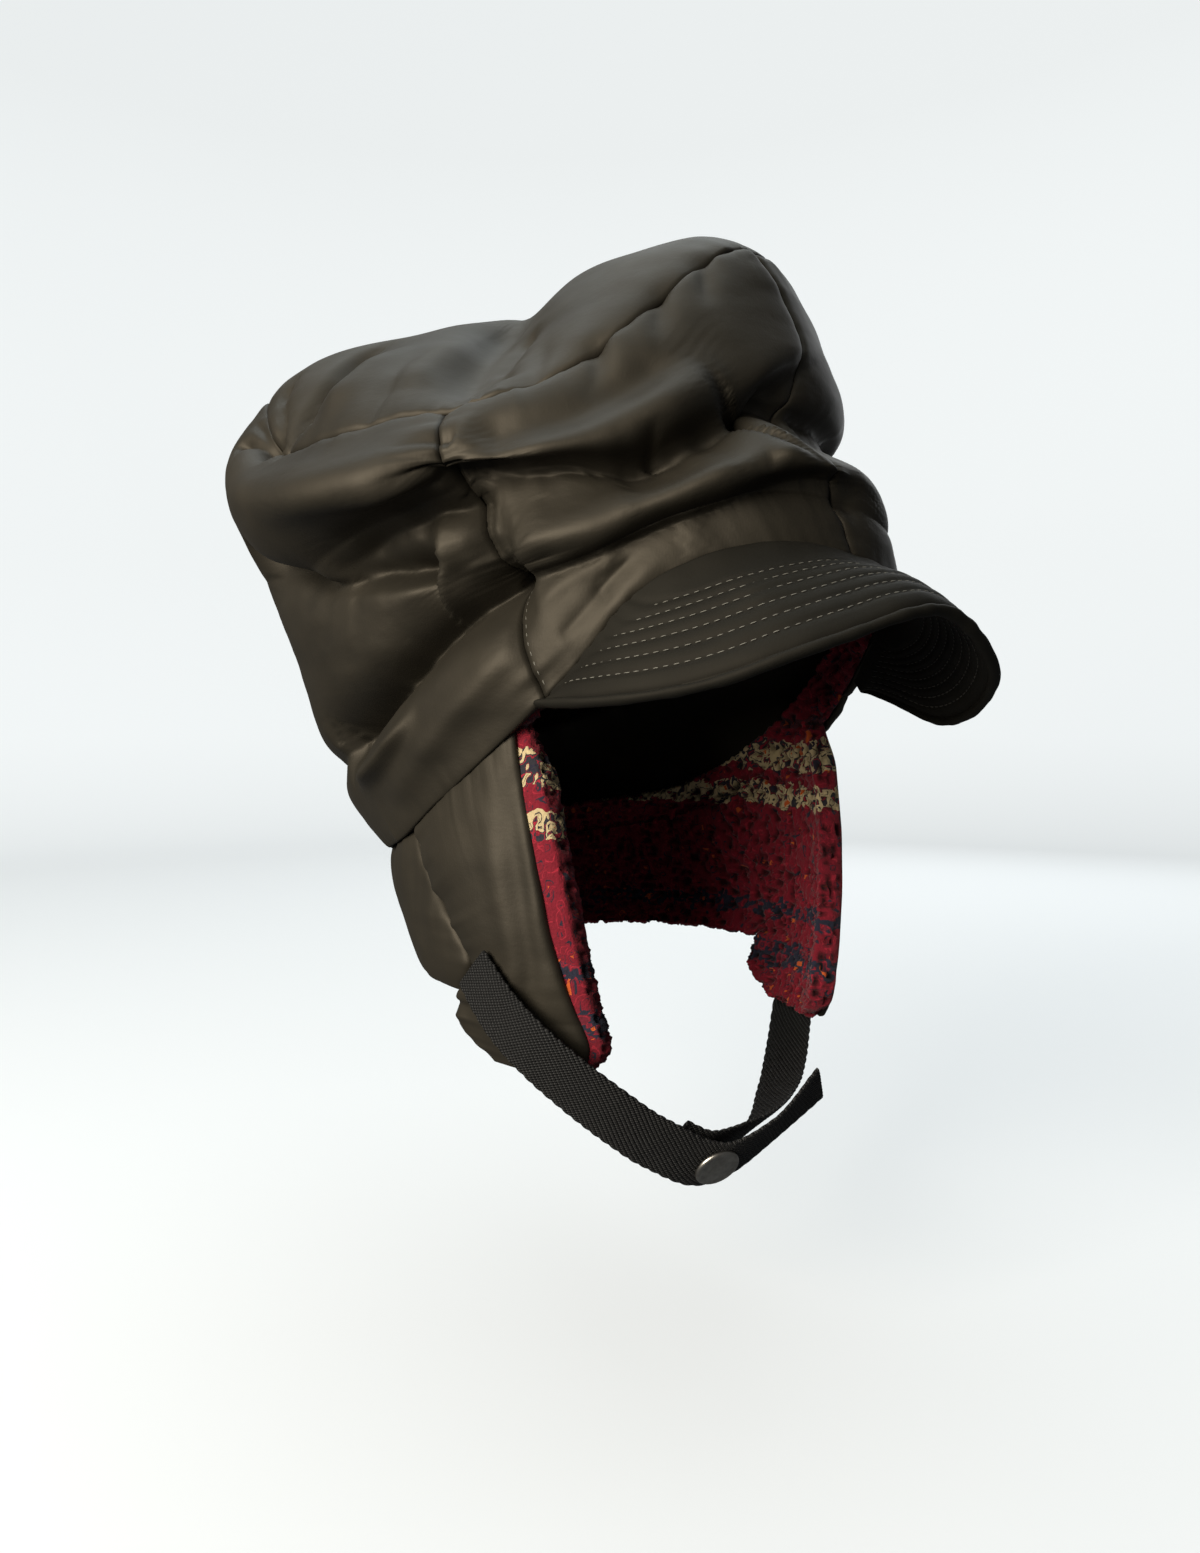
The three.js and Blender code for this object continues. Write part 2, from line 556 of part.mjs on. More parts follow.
// The ring of lining inside the crown's hem. lift is the height over the hem.
function bandLiningGeometry() {
  const columns = FULL_TURN / TURN_STEP;
  const rows = [
    { lift: 1.2, inset: 4.2 },
    { lift: 7, inset: 5.8 },
    { lift: 14, inset: 9.5 },
  ];
  const face = (depth) =>
    Array.from({ length: columns }, (_, i) => {
      const turn = FULL_TURN - i * TURN_STEP;
      const angle = radians(turn);
      return rows.map((row) => {
        const x = -(LEVELS[0].halfWidth - row.inset - depth) * Math.sin(angle);
        const y = -(LEVELS[0].halfDepth - row.inset - depth) * Math.cos(angle);
        return new THREE.Vector3(x, y, crownSection("hem", turn) + row.lift);
      });
    });
  return sheetGeometry(face(0), face(BAND_LINING), true);
}

// Where a strap is at a row of its table, which way it runs, and which way its outer side faces.
function strapFrame(table, row) {
  const last = table.length - 1;
  const placeAt = (at, names) => new THREE.Vector3(...names.map((name) => alongRows(table, name, at)));
  const middle = placeAt(row, ["x", "y", "z"]);
  const step = 0.05; // of a row
  const ahead = placeAt(Math.min(row + step, last), ["x", "y", "z"]);
  const behind = placeAt(Math.max(row - step, 0), ["x", "y", "z"]);
  const along = ahead.sub(behind).normalize();
  const face = placeAt(row, ["faceX", "faceY", "faceZ"]);
  face.addScaledVector(along, -face.dot(along)).normalize();
  return { middle, along, face };
}

// A flat strap along a table of points.
function strapGeometry(table) {
  const last = table.length - 1;
  const rings = gridOf(STRAP_STEPS, (share) => {
    const { middle, along, face } = strapFrame(table, share * last);
    const width = new THREE.Vector3().crossVectors(face, along);
    const corner = (side, up) =>
      middle
        .clone()
        .addScaledVector(width, (side * WEBBING_WIDTH) / 2)
        .addScaledVector(face, (up * WEBBING_THICK) / 2);
    return [corner(-1, -1), corner(1, -1), corner(1, 1), corner(-1, 1)];
  });
  return tubeGeometry(rings);
}

// A disc with rounded edges, turned on its own axis, then set along the way the strap faces.
function snapDisc(radius, height) {
  const sides = 24;
  const profile = [
    new THREE.Vector2(0, 0),
    new THREE.Vector2(radius * 0.92, 0),
    new THREE.Vector2(radius, height * 0.3),
    new THREE.Vector2(radius * 0.96, height * 0.75),
    new THREE.Vector2(radius * 0.82, height),
    new THREE.Vector2(0, height * 0.9),
  ];
  return new THREE.LatheGeometry(profile, sides).rotateX(Math.PI / 2);
}

function placeOnStrap(geometry, table, lift) {
  const { middle, face } = strapFrame(table, SNAP_POINT);
  const turn = new THREE.Quaternion().setFromUnitVectors(new THREE.Vector3(0, 0, 1), face);
  const centre = middle.addScaledVector(face, lift);
  return geometry.applyQuaternion(turn).translate(...centre.toArray());
}

const NYLON = 0x3a3730;
const NYLON_DARK = 0x2f2e29;
const WOOL = 0x7a1024;
const WEBBING = 0x26272a;
const STEEL = 0x8d8d88;

const cap = new THREE.Group();
cap.name = "crusher_cap";

addMesh(cap, "crown_tip", tipGeometry(), NYLON, 0.5);
addMesh(cap, "crown_front_right", crownPanel(FRONT_SEAM, RIGHT_SEAM), NYLON, 0.45);
addMesh(cap, "crown_back_right", crownPanel(RIGHT_SEAM, BACK_SEAM), NYLON, 0.45);
addMesh(cap, "crown_back_left", crownPanel(BACK_SEAM, LEFT_SEAM), NYLON, 0.45);
addMesh(cap, "crown_front_left", crownPanel(LEFT_SEAM, FULL_TURN), NYLON, 0.45);
addMesh(cap, "visor", visorGeometry(), NYLON_DARK, 0.5);
addMesh(cap, "visor_edge", visorEdgeGeometry(), NYLON_DARK, 0.5);

const liningOuter = WALL + 2 * GAP;
const liningInner = liningOuter + FLAP_LINING;
const earLining = (mirrored) => earGeometry(liningOuter, liningInner, LINING_TRIM, FRONT_REACH, mirrored);
addMesh(cap, "ear_flap_right", earGeometry(0, WALL, 0, 0, false), NYLON, 0.45);
addMesh(cap, "ear_flap_left", earGeometry(0, WALL, 0, 0, true), NYLON, 0.45);
addMesh(cap, "nape_flap", napeGeometry(0, WALL, 0), NYLON, 0.45);
addMesh(cap, "ear_lining_right", earLining(false), WOOL, 0.95);
addMesh(cap, "ear_lining_left", earLining(true), WOOL, 0.95);
addMesh(cap, "nape_lining", napeGeometry(liningOuter, liningInner, LINING_TRIM), WOOL, 0.95);
addMesh(cap, "band_lining", bandLiningGeometry(), WOOL, 0.95);

addMesh(cap, "chin_strap_right", strapGeometry(RIGHT_STRAP), WEBBING, 0.8);
addMesh(cap, "chin_strap_left", strapGeometry(LEFT_STRAP), WEBBING, 0.8);

const snapCap = placeOnStrap(snapDisc(SNAP_RADIUS, SNAP_HEIGHT), RIGHT_STRAP, WEBBING_THICK / 2 + GAP);
const snapStud = placeOnStrap(snapDisc(STUD_RADIUS, STUD_HEIGHT), LEFT_STRAP, (WEBBING_THICK + GAP) / 2);
addMesh(cap, "snap_cap", snapCap, STEEL, 0.35, 1);
addMesh(cap, "snap_stud", snapStud, STEEL, 0.35, 1);

export default cap;
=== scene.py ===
# The looks of a padded nylon crusher cap: folded crown, stitched visor, flaps with a looped wool
# lining, and a webbing chin strap closed by a snap. Tables are in millimetres and turned to metres
# when a mesh is made. A turn is an angle round the head, in degrees: 0 at the front, 90 at the
# wearer's right.

import itertools
import math

import bpy
import numpy as np
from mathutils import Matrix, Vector


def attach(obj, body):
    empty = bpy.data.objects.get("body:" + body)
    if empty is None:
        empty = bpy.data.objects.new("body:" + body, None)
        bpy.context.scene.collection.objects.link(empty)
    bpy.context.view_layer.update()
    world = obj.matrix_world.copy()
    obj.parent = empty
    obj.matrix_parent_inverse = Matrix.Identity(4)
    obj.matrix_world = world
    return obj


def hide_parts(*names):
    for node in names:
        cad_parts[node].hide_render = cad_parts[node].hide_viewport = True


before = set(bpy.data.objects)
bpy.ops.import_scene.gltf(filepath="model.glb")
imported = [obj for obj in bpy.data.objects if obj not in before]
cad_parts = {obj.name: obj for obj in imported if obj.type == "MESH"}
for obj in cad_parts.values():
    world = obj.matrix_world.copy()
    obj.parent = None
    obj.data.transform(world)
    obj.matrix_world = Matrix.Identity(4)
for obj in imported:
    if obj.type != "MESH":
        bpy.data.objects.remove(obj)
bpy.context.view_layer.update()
MM = 0.001

# Camera: the photo is 1200 by 1553 pixels, its focal length 1202 pixels.
CAMERA_AT = (-0.3041, -0.3453, 0.0)
CAMERA_TURN = 40
CAMERA_PITCH = 3.6
SENSOR = 36
FOCAL_SHARE = 1202 / 1553
FLOOR_HEIGHT = -0.225

# Sizes shared with the solids
WALL = 3
GAP = 0.35
BAND_LINING = 4.5
FLAP_LINING = 6.5
VISOR_THICK = 3.4
EDGE_RADIUS = 1.6
WEBBING_WIDTH = 20
WEBBING_THICK = 1.6
SNAP_RADIUS = 8
SNAP_HEIGHT = 2
STUD_RADIUS = 5.5
STUD_HEIGHT = 1.5
RIGHT_SEAM = 64
BACK_SEAM = 180
LEFT_SEAM = 296
VISOR_DROP = 0.9
YARN = 3.3  # width of the wool's yarn with the gap beside it
PILE = 1.7  # height of its loops
SKIRT_TUCK = 1.2
SKIRT_DROP = 0.9
FLAP_PUFF = 2.5

# The crown is an oval at each level: x, y, half width, half depth, twist.
LEVEL_OVALS = {
    "hem": (0, 0, 85, 107, 0),
    "lowCrease": (-4, 16, 93, 123, 0),
    "roll": (-9, 26, 93, 132, -1),
    "highCrease": (-9, 40, 103, 133, -5),
    "bulge": (-12.5, 43, 117.5, 121, -12),
    "tipSeam": (-14, 44, 101, 104, -11),
}
LEVEL_NAMES = list(LEVEL_OVALS)
TOP = len(LEVEL_NAMES) - 1
CREASE_WIDTH = 0.22
CREASE_SHARE = 0.4  # how much of the solids' plain creases stays under the folds below

# Heights of the levels by turn, depths of the two creases, and heights of the top on two rings.
SECTION_COLUMNS = ["turn", "hem", "lowCrease", "roll", "highCrease", "bulge", "tipSeam", "tipOuter",
                   "tipInner", "lowDepth", "highDepth"]
SECTIONS = np.array([
    (0, 43, 60, 73, 88, 120, 153, 162, 160, 4, 9),
    (12, 45, 60, 75, 95, 115, 147, 156, 158, 5, 9),
    (24, 44, 57, 69, 80, 103, 130, 146, 154, 5, 9),
    (36, 39, 51, 60, 69, 86, 112, 130, 145, 5, 9),
    (48, 28, 41, 52, 68, 77, 100, 114, 135, 4, 7),
    (61, 5, 33, 44, 62, 74, 94, 110, 131, 4, 5),
    (75, -15, 21, 35, 56, 69, 91, 112, 134, 5, 6),
    (90, -33, 2, 24, 50, 66, 88, 114, 137, 6, 6),
    (110, -51, -15, 14, 43, 70, 89, 118, 139, 6, 5),
    (135, -59, -33, 10, 49, 86, 116, 133, 142, 3, 3),
    (160, -62, -37, 4, 49, 89, 123, 136, 143, 3, 4),
    (180, -63, -36, 4, 52, 92, 125, 138, 144, 2, 4),
    (215, -61, -25, 14, 58, 97, 130, 143, 147, 2, 4),
    (250, -49, -4, 28, 66, 102, 136, 149, 152, 3, 5),
    (285, -14, 20, 43, 72, 105, 143, 156, 156, 4, 6),
    (312, 24, 43, 60, 83, 108, 148, 161, 159, 4, 9),
    (340, 39, 56, 71, 86, 113, 152, 163, 161, 4, 10),
], float)
OUTER_RING = 0.78
INNER_RING = 0.42
TIP_CENTRE_HEIGHT = 149
RIM_SLOPE = 1.45  # how much steeper the top starts at its seam than it runs to the outer ring

# Folds of the crown. Each runs through places given as turn, height, where height is 0 at the hem,
# 1 at the low crease, 3 at the high one, 5 at the tip's seam and 6 at the middle of the top. A row
# holds how deep it is pulled in, or a ridge when negative, its widths above and below, its sharpness
# from 1 for a crease to 2 for a soft roll, the share of its length that each end takes to die away,
# how far its floor is tucked under the side above, or below when negative, and its places.
FOLDS = [
    # the crease under the upper roll, and its way round the far side
    (11, 8, 12, 1.2, (0.12, 0.03), 6, [(66, 3.1), (61.5, 3.08), (58.5, 2.98), (53.5, 2.86), (46, 2.84),
     (38, 3.0), (32.5, 3.05), (26.5, 3.08), (21, 3.1), (15.5, 3.12)]),
    (12, 9, 12, 1.2, (0.08, 0.12), 6, [(19, 3.1), (12, 3.08), (5.5, 3.12), (-1, 3.2), (-12, 3.24),
     (-24, 3.2), (-40, 3.1), (-62, 3.0)]),
    (6.5, 4, 9, 1.3, (0.05, 0.5), 3, [(16, 3.08), (12, 3.18), (6.5, 3.4), (-0.5, 3.72), (-12, 4.1)]),
    # the crease between the second and third rolls, over the visor and down the right side
    (7.5, 6, 10, 1.2, (0.1, 0.25), 4, [(66, 0.98), (62, 0.95), (54, 0.84), (44.5, 0.74), (36, 0.68),
     (25.5, 0.76), (15.5, 1.04), (4, 1.24), (-8.5, 1.42), (-22, 1.4)]),
    (21, 12, 7, 1.4, (0.12, 0.1), 0, [(59, 1.08), (65.5, 1.1), (72.5, 1.08), (83, 1.12), (94, 1.08),
     (107, 1.0), (121, 0.92)]),
    (-4, 14, 8, 2, (0.1, 0.3), 0, [(60, 1.88), (69, 1.7), (80, 1.52), (91.5, 1.4), (106.5, 1.3)]),
    (-6, 3.2, 4, 2, (0.4, 0.3), 0, [(86, 0.76), (92.5, 0.68), (102.5, 0.64), (118, 0.7)]),
    (-3, 7, 6, 2, (0.2, 0.4), 0, [(64, 0.62), (73.5, 0.5), (84, 0.46), (95, 0.4), (107, 0.34)]),
    # creases that run back from the right seam
    (10, 6, 5, 1.2, (0.12, 0.3), 3, [(61, 2.6), (65.5, 2.72), (71, 2.78), (79.5, 2.8), (87, 2.78),
     (97, 2.86)]),
    (17, 5, 12, 1.3, (0.15, 0.15), -4, [(126, 3.4), (118, 3.26), (110, 3.1), (99, 2.8), (92.5, 2.66),
     (83, 2.52), (74.5, 2.4), (71.5, 2.28)]),
    (1.8, 5, 5, 1.6, (0.3, 0.3), 0, [(71.5, 2.3), (70, 2.0), (69, 1.66), (67, 1.24), (63, 1.02)]),
    (-5.5, 4, 8, 2, (0.3, 0.25), 0, [(104, 3.0), (97, 2.78), (89.5, 2.54), (84.5, 2.38), (77.5, 2.2),
     (71, 2.04)]),
    (4, 2.5, 3.5, 1.2, (0.4, 0.3), 0, [(80, 2.44), (75, 2.36), (70.5, 2.24)]),
    (-4, 5, 5, 2, (0.12, 0.4), 0, [(60.5, 2.9), (65.5, 3.14), (70.5, 3.46), (77, 3.66), (88, 3.74)]),
    (4, 3.5, 3.5, 1.2, (0.1, 0.6), 1.5, [(61, 3.14), (66, 3.22), (72, 3.32), (78, 3.42)]),
    (4, 4, 3.5, 1.2, (0.1, 0.6), 1.5, [(60.5, 3.6), (64.5, 3.68), (69, 3.8), (76, 3.9)]),
    (2.6, 3.5, 3, 1.2, (0.1, 0.6), 0, [(61.5, 4.36), (65.5, 4.38), (72, 4.34)]),
    (-3, 9, 6, 2, (0.4, 0.4), 0, [(102.5, 3.72), (91.5, 3.88), (81, 4.0), (72, 4.02), (66.5, 3.96)]),
    (2.6, 5, 6, 1.5, (0.1, 0.6), 0, [(61.5, 2.24), (67, 2.12), (75, 1.96), (84, 1.88)]),
    (2.4, 4, 5, 1.4, (0.1, 0.6), 0, [(61.5, 1.68), (66, 1.6), (73, 1.44)]),
    # the front right panel
    (4.5, 2.4, 2.4, 1.2, (0.5, 0.05), 0, [(32.5, 3.75), (32.5, 3.4), (32.5, 3.04)]),
    (-4.5, 12, 9, 2, (0.2, 0.3), 0, [(56, 3.78), (48.5, 3.74), (40.5, 3.76), (33, 3.8), (26, 3.8),
     (19, 3.9)]),
    (3.6, 7, 7, 2, (0.15, 0.3), 0, [(60, 4.5), (53.5, 4.34), (45.5, 4.32), (38, 4.32), (32.5, 4.32),
     (27.5, 4.3), (17.5, 4.32)]),
    (2.2, 4, 4, 1.6, (0.0, 0.6), 0, [(14.5, 4.99), (17, 4.75), (19, 4.5)]),
    (2.4, 4.5, 4.5, 1.6, (0.0, 0.6), 0, [(24.5, 4.99), (26.5, 4.76), (29, 4.4)]),
    (2, 4, 4, 1.6, (0.0, 0.6), 0, [(37, 4.99), (38, 4.7), (41, 4.45)]),
    (-3, 7, 6, 2, (0.12, 0.3), 0, [(60, 2.1), (50, 1.94), (41.5, 1.88), (32.5, 1.84), (22.5, 1.9),
     (13.5, 1.84)]),
    (-3, 5, 4, 2, (0.3, 0.3), 0, [(16, 1.9), (11.5, 1.88), (4.5, 1.66), (-4, 1.5)]),
    (2, 3, 3, 1.4, (0.1, 0.6), 0, [(61, 1.4), (55, 1.5), (48, 1.46)]),
    (-1.2, 2.6, 2.6, 2, (0.2, 0.5), 0, [(61, 0.68), (54, 0.74), (48, 0.68), (42, 0.58)]),
    (1.6, 2.4, 3, 1.4, (0.2, 0.4), 0, [(58.5, 0.4), (52.5, 0.42), (46, 0.48), (40.5, 0.5)]),
    (-1, 2.6, 2.6, 2, (0.3, 0.4), 0, [(56, 0.16), (49, 0.2), (42, 0.3), (36, 0.34)]),
    (1.8, 2.5, 2.5, 1.3, (0.3, 0.4), 0, [(2, 0.9), (-2, 0.95), (-7, 0.9)]),
    # the top: the valley that shows as a dip, and the fold at the right corner
    (6, 10, 9, 1.6, (0.3, 0.2), 0, [(70, 5.88), (66, 5.72), (63.5, 5.55), (63, 5.36), (62, 5.15),
     (60, 4.96)]),
    (3, 5, 5, 1.4, (0.4, 0.1), 0, [(44.5, 5.46), (50, 5.42), (54.5, 5.3), (55, 5.08)]),
    (-2.6, 9, 9, 2, (0.4, 0.3), 0, [(72, 5.55), (74, 5.3), (75, 5.1)]),
    (7.5, 3, 10, 1.3, (0.3, 0.15), 0, [(122, 5.5), (118, 5.34), (112, 5.22), (110, 5.14), (108.5, 5.06),
     (105, 4.98)]),
    (-3.5, 9, 9, 2, (0.4, 0.3), 0, [(96, 5.4), (94, 5.26), (94, 5.14), (96, 5.04)]),
    (4.5, 2.5, 4, 1.2, (0.25, 0.1), 0, [(131, 4.34), (125, 4.66), (118.5, 4.88), (110, 4.96)]),
    (3.5, 2.5, 3, 1.2, (0.3, 0.1), 0, [(130, 4.8), (122, 4.92), (113, 4.97)]),
    (3.5, 3, 3, 1.3, (0.3, 0.1), 0, [(130, 5.14), (125, 5.07), (117, 5.04), (109, 4.98)]),
    (1.8, 4, 4, 1.6, (0.6, 0.0), 0, [(84, 5.3), (81, 5.14), (80, 5.02)]),
    (1.6, 5, 5, 1.6, (0.6, 0.0), 0, [(45, 5.3), (46, 5.15), (48, 5.02)]),
    # the back and the left side, which the photo doesn't show
    (8, 8, 12, 1.3, (0.25, 0.3), 3, [(122, 2.2), (140, 2.5), (160, 2.8), (185, 2.9), (210, 2.75),
     (232, 2.5)]),
    (6, 9, 8, 1.4, (0.2, 0.3), 0, [(110, 0.9), (128, 1.05), (150, 1.15), (172, 1.1), (186, 1.0)]),
    (7, 9, 7, 1.3, (0.3, 0.12), 2, [(176, 1.5), (192, 1.3), (215, 1.15), (240, 1.2), (268, 1.05),
     (298, 1.0)]),
    (8, 8, 9, 1.2, (0.3, 0.05), 4, [(222, 3.0), (245, 2.8), (270, 2.75), (297, 2.9)]),
    (-2.5, 6, 6, 2, (0.4, 0.2), 0, [(258, 2.1), (275, 2.0), (292, 2.2)]),
    (6, 6, 9, 1.2, (0.3, 0.05), 3, [(338, 1.3), (322, 1.35), (306, 1.2), (296, 1.05)]),
    (4.5, 8, 7, 1.6, (0.4, 0.4), 0, [(150, 3.7), (170, 3.95), (195, 3.9)]),
    (4.5, 8, 8, 1.6, (0.4, 0.4), 0, [(240, 3.6), (262, 3.9), (285, 3.8)]),
    (4, 10, 10, 1.6, (0.4, 0.2), 0, [(210, 5.6), (190, 5.35), (178, 5.1)]),
    (3.5, 10, 10, 1.6, (0.4, 0.2), 0, [(285, 5.6), (290, 5.3), (292, 5.05)]),
]

# The visor from its right corner to its left one: turn at the root, rim x, y, z, arch.
VISOR_RIBS = np.array([
    (62.5, -80.5, -46, -0.5, 0),
    (54, -79, -69, -1, 1),
    (47, -73, -93, 1, 2.5),
    (39, -64, -111, 5, 3.5),
    (30, -52, -126, 12, 4),
    (20, -37, -135, 18, 4),
    (9, -17, -142, 25, 4),
    (0, 1, -143, 26, 4),
    (-9, 19, -141.5, 19, 4),
    (-20, 40, -134, 9, 4),
    (-30, 56, -121, 0.5, 3.5),
    (-39, 67, -106, -6, 3),
    (-47, 74, -90, -8, 2.5),
    (-54, 78.5, -72, -2, 1),
    (-61, 80.5, -52, 6, 0),
], float)
STITCH_ROWS = [8.5, 13.5, 18.5, 23.5, 28.5, 33.5]  # from the rim
UNDER_ROWS = [7, 10.5, 14, 17.5, 21, 24.5, 28, 31.5]

# The skirt's oval by height: z, half width, front depth, back depth.
SKIRT_OVALS = np.array([
    (20, 84, 95, 106),
    (-50, 85.5, 93, 107),
    (-62, 85, 92, 105),
    (-74, 84.5, 91, 98),
    (-86, 83, 90, 86),
    (-95, 82, 89, 74),
    (-104, 80, 88, 66),
    (-126, 76, 86, 58),
], float)

# Edges of the right ear flap from the hem down: front turn and z, back turn and z.
EAR_ROWS = np.array([
    (68, -8, 104, -47.5),
    (65, -30, 96, -63),
    (61, -56, 88.5, -76),
    (57.5, -82, 83.5, -89),
    (55, -100, 90, -101.5),
    (53.5, -113, 91, -112),
    (57, -123.5, 80, -122.5),
], float)

# Rows of the nape flap: turn and z of its ends, and z at the middle of the back.
NAPE_ROWS = np.array([
    (104, -47.5, -63),
    (96, -63, -71),
    (88.5, -76, -80),
    (83.5, -89, -88),
    (90, -100, -97),
], float)

# Chin strap: x, y, z, and the way that its outer side faces.
RIGHT_STRAP = np.array([
    (-84, -17, -88, -0.99, -0.14, -0.1),
    (-82, -30, -101, -0.96, -0.25, -0.1),
    (-76.5, -43.5, -113, -0.92, -0.38, -0.12),
    (-62, -56, -129, -0.78, -0.58, -0.22),
    (-42, -63, -145, -0.45, -0.78, -0.4),
    (-21, -68, -155, 0, -0.85, -0.53),
    (1, -73, -148, 0.12, -0.84, -0.55),
    (22, -77, -134, -0.2, -0.8, -0.55),
], float)
LEFT_STRAP = np.array([
    (84.6, -13, -88, 1, -0.1, -0.1),
    (82.6, -17, -106, 1, -0.06, -0.12),
    (74, -19, -128, 0.93, 0.1, -0.35),
    (47, -37, -147, 0.55, -0.15, -0.8),
    (17, -54, -152, 0.22, -0.6, -0.76),
    (-21, -64.1, -152.1, 0, -0.85, -0.53),
    (-35, -61.5, -146, -0.25, -0.83, -0.48),
], float)
SNAP_POINT = 5

# Stripes of the wool by height, from the top: the height where each ends, and its kind.
WOOL_STRIPES = [(-6, "red"), (-10, "dark"), (-17, "red"), (-28.5, "cream"), (-35, "red"), (-44, "cream"),
                (-84, "red"), (-90, "navy"), (-100, "red"), (-109, "navy"), (-140, "red")]


# Surfaces

def hermite(a, b, slope_a, slope_b, s):
    s2, s3 = s * s, s * s * s
    start = (2 * s3 - 3 * s2 + 1) * a + (s3 - 2 * s2 + s) * slope_a
    return start + (3 * s2 - 2 * s3) * b + (s3 - s2) * slope_b


def smooth(share):
    s = np.clip(share, 0, 1)
    return s * s * (3 - 2 * s)


def along_rows(values, at):
    """A column of a table at fractional rows."""
    last = len(values) - 1
    at = np.asarray(at, float)
    i = np.clip(np.floor(at).astype(int), 0, last - 1)
    v = [values[np.clip(i + k, 0, last)] for k in (-1, 0, 1, 2)]
    return hermite(v[1], v[2], (v[2] - v[0]) / 2, (v[3] - v[1]) / 2, at - i)


def section(column, turn):
    """A column of the crown's sections at any turn, round and round."""
    turns = SECTIONS[:, 0]
    values = SECTIONS[:, SECTION_COLUMNS.index(column)]
    t = np.concatenate([turns[-2:] - 360, turns, turns[:3] + 360])
    v = np.concatenate([values[-2:], values, values[:3]])
    slope = np.zeros_like(v)
    slope[1:-1] = (v[2:] - v[:-2]) / (t[2:] - t[:-2])
    wrapped = np.mod(turn, 360)
    i = np.clip(np.searchsorted(t, wrapped, side="right") - 1, 1, len(t) - 3)
    width = t[i + 1] - t[i]
    return hermite(v[i], v[i + 1], slope[i] * width, slope[i + 1] * width, (wrapped - t[i]) / width)


def level_point(name, turn):
    x, y, half_width, half_depth, twist = LEVEL_OVALS[name]
    angle = np.radians(turn + twist)
    return np.stack([x - half_width * np.sin(angle), y - half_depth * np.cos(angle), section(name, turn)], -1)


def tip_point(turn, ring):
    """The top, on a ring that is this share of the tip seam's size. It is level at its centre."""
    seam = level_point("tipSeam", turn)
    x, y = LEVEL_OVALS["tipSeam"][:2]
    knots = [0.0, 1 - OUTER_RING, 1 - INNER_RING, 1.0]
    rings = section("tipOuter", turn), section("tipInner", turn)
    heights = [seam[..., 2], *rings, TIP_CENTRE_HEIGHT + 0 * turn]
    slopes = [
        RIM_SLOPE * (heights[1] - heights[0]) / (knots[1] - knots[0]),
        (heights[2] - heights[0]) / (knots[2] - knots[0]),
        (heights[3] - heights[1]) / (knots[3] - knots[1]),
        0 * turn,
    ]
    s = 1 - ring
    z = np.zeros(np.broadcast(turn, ring).shape)
    for i in range(3):
        width = knots[i + 1] - knots[i]
        share = np.clip((s - knots[i]) / width, 0, 1)
        piece = hermite(heights[i], heights[i + 1], slopes[i] * width, slopes[i + 1] * width, share)
        z = np.where((s >= knots[i]) & (s <= knots[i + 1] + 1e-9), piece, z)
    return np.stack([x + (seam[..., 0] - x) * ring, y + (seam[..., 1] - y) * ring, z], -1)


def side_point(turn, height):
    knots = [level_point(n, turn) for n in LEVEL_NAMES]
    knots = np.stack([knots[0], *knots, tip_point(turn, OUTER_RING + 0 * turn)])
    index = np.clip(np.floor(height).astype(int), 0, TOP - 1)
    share = (height - index)[..., None]

    def knot(i):
        return np.take_along_axis(knots, i[None, ..., None] + np.zeros((1, 1, 3), int), 0)[0]

    a, b = knot(index + 1), knot(index + 2)
    return hermite(a, b, (b - knot(index)) / 2, (knot(index + 3) - a) / 2, share)


def plain_crown(turn, height):
    """The crown with no creases: height is 0 at the hem, 5 at the tip's seam and 6 at the middle."""
    turn, height = np.broadcast_arrays(np.asarray(turn, float), np.asarray(height, float))
    shape = turn.shape
    turn, height = turn.ravel(), height.ravel()
    side = side_point(turn, np.minimum(height, TOP))
    top = tip_point(turn, np.clip(1 - (height - TOP), 0, 1))
    return np.where((height <= TOP)[:, None], side, top).reshape(shape + (3,))


def unit(v):
    return v / np.maximum(np.linalg.norm(v, axis=-1, keepdims=True), 1e-9)


LEVEL_TOP = TOP + 0.93  # height from which the middle of the top counts as level
FRAME_RISE = 0.07  # steps up and round the crown that give its frame
FRAME_TURN = 2


def crown_frame(turn, height):
    """Way out of the crown and way up it."""
    low = np.clip(height - FRAME_RISE, 0, LEVEL_TOP)
    high = np.clip(height + FRAME_RISE, FRAME_RISE, TOP + 0.99)
    up = plain_crown(turn, high) - plain_crown(turn, low)
    ring = np.minimum(height, TOP + 0.9)
    onward = plain_crown(turn + FRAME_TURN, ring) - plain_crown(turn - FRAME_TURN, ring)
    out = np.where((height > LEVEL_TOP)[..., None], np.array([0, 0, 1.0]), unit(np.cross(up, onward)))
    return out, unit(up)


def crease_pull(turn, height):
    low = section("lowDepth", turn) * np.exp(-np.abs(height - 1) / CREASE_WIDTH)
    high = section("highDepth", turn) * np.exp(-np.abs(height - 3) / CREASE_WIDTH)
    return CREASE_SHARE * (low + high)


def lattice(ix, iy, iz, seed):
    n = (ix * 73856093) ^ (iy * 19349663) ^ (iz * 83492791) ^ (seed * 2654435)
    n = (n ^ (n >> 13)) * 1274126177
    return ((n ^ (n >> 16)) & 0xFFFF) / 65535.0


